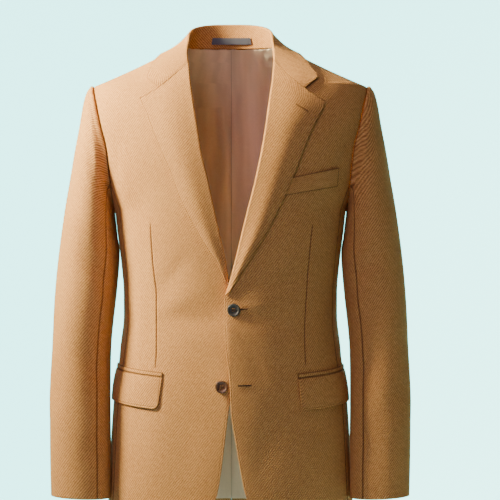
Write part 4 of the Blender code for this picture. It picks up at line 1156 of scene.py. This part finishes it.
def new_finish(name, **settings):
    """A material with a Principled shader, whose even values are set on its own sockets."""
    material = bpy.data.materials.new(name)
    material.use_nodes = True
    shader = material.node_tree.nodes["Principled BSDF"]
    for label, value in settings.items():
        shader.inputs[label.replace("_", " ")].default_value = value
    return material, shader, Wiring(material.node_tree)


def uv_of(w, name):
    node = w.tree.nodes.new("ShaderNodeUVMap")
    node.uv_map = name
    return node.outputs[0]


def object_place(w):
    return w.tree.nodes.new("ShaderNodeTexCoord").outputs["Object"]


def wool_finish(name, dark, middle, light, pitch, wale_depth, dart_shade_and_stitch_colour):
    """Brushed twill with painted shade along its seams, and another colour along a sewn line: painted shade in a
    dart, the thread's colour in a row of stitches.
    """
    material, shader, w = new_finish(name, Roughness=0.92, Sheen_Weight=0.22, Sheen_Roughness=0.55,
                                     Sheen_Tint=(*light, 1), Specular_IOR_Level=0.18)
    cloth = uv_of(w, "cloth")
    twill = place_group(w, bpy.data.node_groups["brushed_twill"], cloth, Pitch=pitch)
    stitches = place_group(w, bpy.data.node_groups["edge_stitches"], uv_of(w, "stitch"))
    wide = w.noise(object_place(w), 9.0, 3.0, 0.6)
    tone = w.sway(wide, 0.24, twill["Tone"])
    low = w.mix(w.ramp(tone, 0.1, 0.5), dark, middle)
    colour = w.mix(w.ramp(tone, 0.5, 0.95), low, light)
    colour = w.mix(w.math("MULTIPLY", stitches["Mask"], 0.35), colour, dark)
    seam, line, _ = w.split(uv_of(w, "seam"))
    # Painted shade along the sewn edges, darkest at the seam, for the shadow that falls into it.
    colour = w.mix(w.ramp(seam, 0.0003, 0.0026, 0.75, 0.0), colour, scaled(dark, 0.35))
    # A sewn line across the piece: painted shade in a front's dart; on the collar's stand, the colour of its
    # stitches.
    colour = w.mix(w.ramp(line, 0.0002, 0.0016, 0.85, 0.0), colour, dart_shade_and_stitch_colour)
    w.join(colour, shader.inputs["Base Color"])
    weave = w.bump(twill["Height"], wale_depth, 0.75)
    edge = w.math("MULTIPLY_ADD", stitches["Mask"], -0.7, w.math("MULTIPLY", stitches["Channel"], -0.5))
    w.join(w.bump(edge, 0.0007, 1.0, weave), shader.inputs["Normal"])
    return material


def satin_finish(name, dark, light, roughness):
    material, shader, w = new_finish(name, Roughness=roughness, Sheen_Weight=0.1, Specular_IOR_Level=0.5,
                                     Anisotropic=0.4)
    cloth = uv_of(w, "cloth")
    thread = w.noise(w.mapping(cloth, scale=(1.0, 0.08, 1.0)), 2600.0, 2.0)
    wide = w.noise(w.mapping(cloth, scale=(1.0, 0.1, 1.0)), 34.0, 2.0)
    tone = w.sway(thread, 0.3, wide)
    # Streaks along the grain that follow the bump: painted shade in its troughs, painted sheen on its ridges.
    colour = w.mix(w.ramp(tone, 0.25, 0.75), dark, light)
    seam = w.split(uv_of(w, "seam"))[0]
    # Painted shade along the over half's pleat edge, where it lies over the under half.
    colour = w.mix(w.ramp(seam, 0.0002, 0.0016, 0.45, 0.0), colour, scaled(dark, 0.3))
    w.join(colour, shader.inputs["Base Color"])
    w.join(w.ramp(wide, 0.2, 0.8, roughness - 0.06, roughness + 0.06), shader.inputs["Roughness"])
    weave = w.bump(thread, 0.0001, 0.5)
    w.join(w.bump(wide, 0.0012, 0.5, weave), shader.inputs["Normal"])
    return material


def horn_finish(name, dark, light, roughness):
    material, shader, w = new_finish(name, Roughness=roughness, Coat_Weight=0.18, Coat_Roughness=0.2)
    place = object_place(w)
    bands = w.noise(w.mapping(place, scale=(1.0, 1.0, 0.25), turn=0.6), 420.0, 4.0, 0.6)
    specks = w.noise(place, 1800.0, 2.0)
    tone = w.sway(specks, 0.3, bands)
    w.join(w.mix(w.ramp(tone, 0.35, 0.72), dark, light), shader.inputs["Base Color"])
    w.join(w.ramp(specks, 0.2, 0.8, roughness - 0.08, roughness + 0.1), shader.inputs["Roughness"])
    w.join(w.bump(specks, 0.0001, 0.25), shader.inputs["Normal"])
    return material


def thread_finish(name, dark, light):
    material, shader, w = new_finish(name, Roughness=0.8, Specular_IOR_Level=0.2)
    strands = w.noise(object_place(w), 3000.0, 2.0)
    w.join(w.mix(w.ramp(strands, 0.3, 0.7), dark, light), shader.inputs["Base Color"])
    w.join(w.bump(strands, 0.0002, 0.6), shader.inputs["Normal"])
    return material


# ---- what a user may change ----
def colour_setting(label, about, default):
    return bpy.props.FloatVectorProperty(name=label, description=about, default=default, size=3, min=0, max=1,
                                         subtype="COLOR")


def length_setting(label, about, default, low, high):
    return bpy.props.FloatProperty(name=label, description=about, default=default, min=low, max=high,
                                   subtype="DISTANCE", unit="LENGTH")


def power_setting(label, about, default):
    return bpy.props.FloatProperty(name=label, description=about, default=default, min=0, subtype="POWER",
                                   unit="POWER")


class JacketCloth(bpy.types.PropertyGroup):
    """Colours and weave of the cloth and its trimmings"""
    wool_dark: colour_setting("Wool, dark yarn", "Colour between the wales", (0.27, 0.105, 0.030))
    wool_middle: colour_setting("Wool, body", "Main colour of the wool", (0.52, 0.225, 0.066))
    wool_light: colour_setting("Wool, nap", "Colour of the brushed tips", (0.76, 0.38, 0.13))
    wale_pitch: length_setting("Wale pitch", "Distance between two wales of the twill", 0.0032, 0.001, 0.01)
    wale_depth: length_setting("Wale depth", "Height of the wales in the shading", 0.0006, 0, 0.002)
    # The lining's two colours are a darker and a lighter copy of one satin: painted shade and painted sheen.
    lining_dark: colour_setting("Lining, dark", "Lining colour in its troughs", (0.64, 0.45, 0.30))
    lining_light: colour_setting("Lining, light", "Lining colour on its ridges", (0.98, 0.72, 0.49))
    ribbon: colour_setting("Loop ribbon", "Colour of the hanger loop", (0.06, 0.058, 0.066))
    thread: colour_setting("Thread", "Colour of the buttonhole thread", (0.16, 0.075, 0.03))


class JacketButtons(bpy.types.PropertyGroup):
    """Colours of the buttons"""
    top: colour_setting("Top button", "Dark horn of the closed button", (0.035, 0.028, 0.02))
    top_light: colour_setting("Top button, light", "Its lighter bands", (0.085, 0.07, 0.05))
    low: colour_setting("Lower button", "Brown horn of the open button", (0.06, 0.022, 0.009))
    low_light: colour_setting("Lower button, light", "Its lighter bands", (0.22, 0.09, 0.035))


class JacketStage(bpy.types.PropertyGroup):
    """Floor, backdrop and light"""
    backdrop: colour_setting("Backdrop", "Pale colour of wall and floor", (0.80, 0.90, 0.89))
    glow: colour_setting("Backdrop glow", "Colour that the wall gives off behind the jacket", (0.29, 1.0, 0.95))
    key_power: power_setting("Key light", "Power of the main light", 31.0)
    fill_power: power_setting("Fill light", "Power of the soft light in front", 22.0)
    top_power: power_setting("Top light", "Power of the light overhead", 14.0)


def finish_named(name):
    """A finish by its name, made from the settings when it is first asked for."""
    if name in bpy.data.materials:
        return bpy.data.materials[name]
    cloth, buttons = bpy.context.scene.jacket_cloth, bpy.context.scene.jacket_buttons
    if "brushed_twill" not in bpy.data.node_groups:
        twill_group()
        stitch_group()
    makers = {
        # The wool's only sewn lines are the fronts' darts, which take painted shade at half the dark yarn's colour.
        "wool": lambda: wool_finish("wool", cloth.wool_dark, cloth.wool_middle, cloth.wool_light,
                                    cloth.wale_pitch, cloth.wale_depth, scaled(cloth.wool_dark, 0.5)),
        "wool_collar": lambda: wool_finish("wool_collar", cloth.wool_dark, cloth.wool_middle, cloth.wool_light,
                                           cloth.wale_pitch, cloth.wale_depth, cloth.wool_light),
        "lining": lambda: satin_finish("lining", cloth.lining_dark, cloth.lining_light, 0.48),
        # The ribbon's lighter colour, half as bright again, is painted sheen.
        "ribbon": lambda: satin_finish("ribbon", cloth.ribbon, scaled(cloth.ribbon, 1.5), 0.38),
        "horn_dark": lambda: horn_finish("horn_dark", buttons.top, buttons.top_light, 0.36),
        "horn_brown": lambda: horn_finish("horn_brown", buttons.low, buttons.low_light, 0.28),
        "thread": lambda: thread_finish("thread", scaled(cloth.thread, 0.5), cloth.thread),
        "thread_soft": lambda: thread_finish("thread_soft", cloth.wool_dark, scaled(cloth.wool_middle, 0.8)),
        # Near-black painted shade for the slits of the worked buttonholes.
        "slit_shade": lambda: thread_finish("slit_shade", (0.01, 0.006, 0.004), (0.03, 0.016, 0.008)),
    }
    return makers[name]()


SIDES = (("left", 1), ("right", -1))


class JACKET_OT_fronts(bpy.types.Operator):
    """Make both fronts with their darts and front edges"""
    bl_idname = "jacket.fronts"
    bl_label = "Fronts"

    def execute(self, context):
        wool = (finish_named("wool"),)
        left = make_front("front_left_cloth", 1, OVER_EDGE, LEFT_LAPEL, LEFT_DART, LEFT_CREASES, wool)
        right = make_front("front_right_cloth", -1, UNDER_EDGE, RIGHT_LAPEL, RIGHT_DART, RIGHT_CREASES, wool)
        settle(left, ("front_left",))
        settle(right, ("front_right",))
        return {"FINISHED"}


class JACKET_OT_body(bpy.types.Operator):
    """Make the side panels and the backs"""
    bl_idname = "jacket.body"
    bl_label = "Sides and backs"

    def execute(self, context):
        wool = (finish_named("wool"),)
        for suffix, side in SIDES:
            panel = make_side(f"side_{suffix}_cloth", side, wool)
            settle(panel, (f"side_{suffix}",))
            back = make_back(f"back_{suffix}_cloth", side, wool)
            settle(back, (f"back_{suffix}",))
        return {"FINISHED"}


class JACKET_OT_lapels(bpy.types.Operator):
    """Make the turned lapels"""
    bl_idname = "jacket.lapels"
    bl_label = "Lapels"

    def execute(self, context):
        wool = (finish_named("wool"),)
        for (suffix, side), rows in zip(SIDES, (LEFT_LAPEL, RIGHT_LAPEL)):
            lapel = make_lapel(f"lapel_{suffix}_cloth", side, rows, wool)
            settle(lapel, (f"lapel_{suffix}",))
        return {"FINISHED"}


class JACKET_OT_collar(bpy.types.Operator):
    """Make the collar, stand and fall in one, and the hanger loop inside it"""
    bl_idname = "jacket.collar"
    bl_label = "Collar and loop"

    def execute(self, context):
        collar = make_collar((finish_named("wool_collar"),))
        settle(collar, ("collar",))
        loop = make_hanger_loop((finish_named("ribbon"),))
        settle(loop, ("hanger_loop",))
        return {"FINISHED"}


class JACKET_OT_sleeves(bpy.types.Operator):
    """Make the upper and under sleeves"""
    bl_idname = "jacket.sleeves"
    bl_label = "Sleeves"

    def execute(self, context):
        wool = (finish_named("wool"),)
        for suffix, side in SIDES:
            upper = make_sleeve_piece(f"sleeve_upper_{suffix}_cloth", side, UPPER_SLEEVE, 72, wool)
            settle(upper, (f"sleeve_upper_{suffix}",))
            under = make_sleeve_piece(f"sleeve_under_{suffix}_cloth", side, UNDER_SLEEVE, 34, wool)
            settle(under, (f"sleeve_under_{suffix}",))
        return {"FINISHED"}


class JACKET_OT_pockets(bpy.types.Operator):
    """Make the flaps, the jets above them and the chest welt"""
    bl_idname = "jacket.pockets"
    bl_label = "Pockets"

    def execute(self, context):
        wool = (finish_named("wool"),)
        for (suffix, side), flap in zip(SIDES, (LEFT_FLAP, RIGHT_FLAP)):
            cover = make_flap(f"flap_{suffix}_cloth", side, flap, wool)
            settle(cover, (f"flap_{suffix}",))
            jet = make_jet(f"jet_{suffix}_cloth", side, flap, wool)
            settle(jet, (f"jet_{suffix}",))
        welt = make_welt(wool)
        settle(welt, ("chest_welt",))
        return {"FINISHED"}


class JACKET_OT_lining(bpy.types.Operator):
    """Make the two halves of the back lining with their pleat"""
    bl_idname = "jacket.lining"
    bl_label = "Lining"

    def execute(self, context):
        for suffix, side in SIDES:
            half = make_lining(f"lining_back_{suffix}_satin", side, (finish_named("lining"),))
            settle(half, (f"lining_back_{suffix}",))
        return {"FINISHED"}


class JACKET_OT_buttons(bpy.types.Operator):
    """Make the buttons with their thread, and the worked buttonholes"""
    bl_idname = "jacket.buttons"
    bl_label = "Buttons and buttonholes"

    def execute(self, context):
        for name, side, spot, horn, slot in (
                ("button_top", 1, TOP_BUTTON_PLACE, "horn_dark", "button_dark"),
                ("button_bottom", -1, LOW_BUTTON_PLACE, "horn_brown", "button_brown")):
            button = make_button(name + "_horn", side, spot, (finish_named(horn),))
            settle(button, (name,))
            settle(make_thread(name + "_thread", side, spot, (finish_named("thread"),)))
        # The worked buttonholes' slits are painted shade; the lapel's takes the thread's darker colour.
        worked = (finish_named("thread"), finish_named("slit_shade"))
        plain = (finish_named("thread_soft"), finish_named("thread"))
        for name, start, end, over, eyelet, finishes in (
                ("buttonhole_top", (7.0, -413.4), (27.4, -411.9), over_left_front, 0.9, worked),
                ("buttonhole_low", (13.1, -530.2), (32.7, -529.5), over_left_front, 0.9, worked),
                ("buttonhole_lapel", (101.9, -96.6), (120.8, -107.5), over_left_lapel, 0.0, plain)):
            settle(make_buttonhole(name, start, end, over, eyelet, finishes))
        return {"FINISHED"}


# The stage, in metres: a floor that bends up into a wall, all from one grid.
STAGE_SIZE = 14.0
STAGE_FRONT_Y = -5.4
FLOOR_Z = -1.25
FLOOR_RUN = 6.0
BEND_RUN = 1.6
BEND_RADIUS = 1.02
CAMERA_PLACE = (0.0312, -3.2, -0.3216)
VIEW_WIDTH = 0.8        # what the camera sees across at the jacket
SENSOR_WIDTH = 36
KEY_SPREAD = math.radians(72)
EVEN_SPREAD = math.pi


def backdrop_finish(settings):
    """Pale paper that gives off light only where the front view sees it, to keep its tint off the cloth."""
    material, shader, w = new_finish("backdrop", Roughness=0.9, Specular_IOR_Level=0.1, Emission_Strength=4.3)
    place = object_place(w)
    shade = w.ramp(w.noise(place, 1.3, 2.0), 0.2, 0.8, 0.97, 1.0)
    w.join(w.mix(shade, scaled(settings.backdrop, 0.9), settings.backdrop), shader.inputs["Base Color"])
    across, _, height = w.split(place)
    lit = w.math("MULTIPLY", w.ramp(height, -1.15, -0.95), w.ramp(height, 0.4, 0.9, 1.0, 0.0))
    lit = w.math("MULTIPLY", lit, w.ramp(w.math("ABSOLUTE", across), 0.8, 1.3, 1.0, 0.0))
    w.join(w.mix(lit, scaled(settings.glow, 0.02), settings.glow), shader.inputs["Emission Color"])
    return material


def make_backdrop(settings):
    stage = bmesh.new()
    bmesh.ops.create_grid(stage, x_segments=40, y_segments=60, size=0.5)
    for vert in stage.verts:
        across, run = vert.co.x * STAGE_SIZE, (vert.co.y + 0.5) * STAGE_SIZE
        turn = min(max((run - FLOOR_RUN) / BEND_RUN, 0), 1) * math.pi / 2
        y = STAGE_FRONT_Y + min(run, FLOOR_RUN) + BEND_RADIUS * math.sin(turn)
        z = FLOOR_Z + BEND_RADIUS * (1 - math.cos(turn)) + max(run - FLOOR_RUN - BEND_RUN, 0)
        vert.co = (across, y, z)
    bmesh.ops.recalc_face_normals(stage, faces=stage.faces[:])
    finish_piece("backdrop", as_mesh(stage, "backdrop"), (backdrop_finish(settings),))


def add_light(name, place, aim, power, size, colour, spread):
    lamp = bpy.data.lights.new(name, "AREA")
    lamp.energy, lamp.size, lamp.color, lamp.spread = power, size, colour, spread
    light = bpy.data.objects.new(name, lamp)
    light.location = place
    light.rotation_euler = (Vector(aim) - Vector(place)).to_track_quat("-Z", "Y").to_euler()
    bpy.context.scene.collection.objects.link(light)


def add_world():
    world = bpy.data.worlds.new("studio_air")
    world.use_nodes = True
    world.node_tree.nodes["Background"].inputs["Color"].default_value = (0.86, 0.93, 0.94, 1)
    world.node_tree.nodes["Background"].inputs["Strength"].default_value = 0.05
    bpy.context.scene.world = world


def add_camera():
    lens = bpy.data.cameras.new("camera")
    lens.sensor_width = SENSOR_WIDTH
    lens.lens = SENSOR_WIDTH * -CAMERA_PLACE[1] / VIEW_WIDTH
    camera = bpy.data.objects.new("camera", lens)
    camera.location = CAMERA_PLACE
    camera.rotation_euler = (math.pi / 2, 0, 0)
    bpy.context.scene.collection.objects.link(camera)
    bpy.context.scene.camera = camera


class JACKET_OT_stage(bpy.types.Operator):
    """Make the pale floor and wall, the studio lights and the camera"""
    bl_idname = "jacket.stage"
    bl_label = "Stage"

    def execute(self, context):
        settings = context.scene.jacket_stage
        make_backdrop(settings)
        add_light("key_light", (-1.45, -0.36, 0.65), (-0.12, 0.0, 0.02), settings.key_power, 0.45,
                  (1.0, 0.96, 0.68), KEY_SPREAD)
        add_light("top_light", (-0.1, -0.8, 2.2), (0.0, 0.0, -0.1), settings.top_power, 0.8,
                  (1.0, 0.97, 0.86), EVEN_SPREAD)
        add_light("fill_light", (-0.9, -2.6, 0.9), (0.0, 0.0, -0.25), settings.fill_power, 0.9,
                  (0.88, 0.66, 1.0), EVEN_SPREAD)
        add_light("back_light", (1.2, 2.4, 1.4), (0.0, 0.0, -0.3), settings.fill_power * 0.5, 1.8,
                  (1, 1, 1), EVEN_SPREAD)
        add_world()
        add_camera()
        return {"FINISHED"}


STEPS = (JACKET_OT_stage, JACKET_OT_fronts, JACKET_OT_body, JACKET_OT_lapels, JACKET_OT_collar,
         JACKET_OT_sleeves, JACKET_OT_pockets, JACKET_OT_lining, JACKET_OT_buttons)
SETTINGS = (JacketCloth, JacketButtons, JacketStage)


class JACKET_PT_panel(bpy.types.Panel):
    """Steps that build the jacket's looks"""
    bl_label = "Tailored jacket"
    bl_idname = "JACKET_PT_panel"
    bl_space_type = "VIEW_3D"
    bl_region_type = "UI"
    bl_category = "Jacket"

    def draw(self, context):
        for step in STEPS:
            self.layout.operator(step.bl_idname)


def register():
    for item in (*SETTINGS, *STEPS, JACKET_PT_panel):
        bpy.utils.register_class(item)
    bpy.types.Scene.jacket_cloth = bpy.props.PointerProperty(type=JacketCloth)
    bpy.types.Scene.jacket_buttons = bpy.props.PointerProperty(type=JacketButtons)
    bpy.types.Scene.jacket_stage = bpy.props.PointerProperty(type=JacketStage)


def unregister():
    del bpy.types.Scene.jacket_stage
    del bpy.types.Scene.jacket_buttons
    del bpy.types.Scene.jacket_cloth
    for item in reversed((*SETTINGS, *STEPS, JACKET_PT_panel)):
        bpy.utils.unregister_class(item)


def main():
    register()
    for step in STEPS:
        family, action = step.bl_idname.split(".")
        getattr(getattr(bpy.ops, family), action)()


if __name__ == "__main__":
    main()
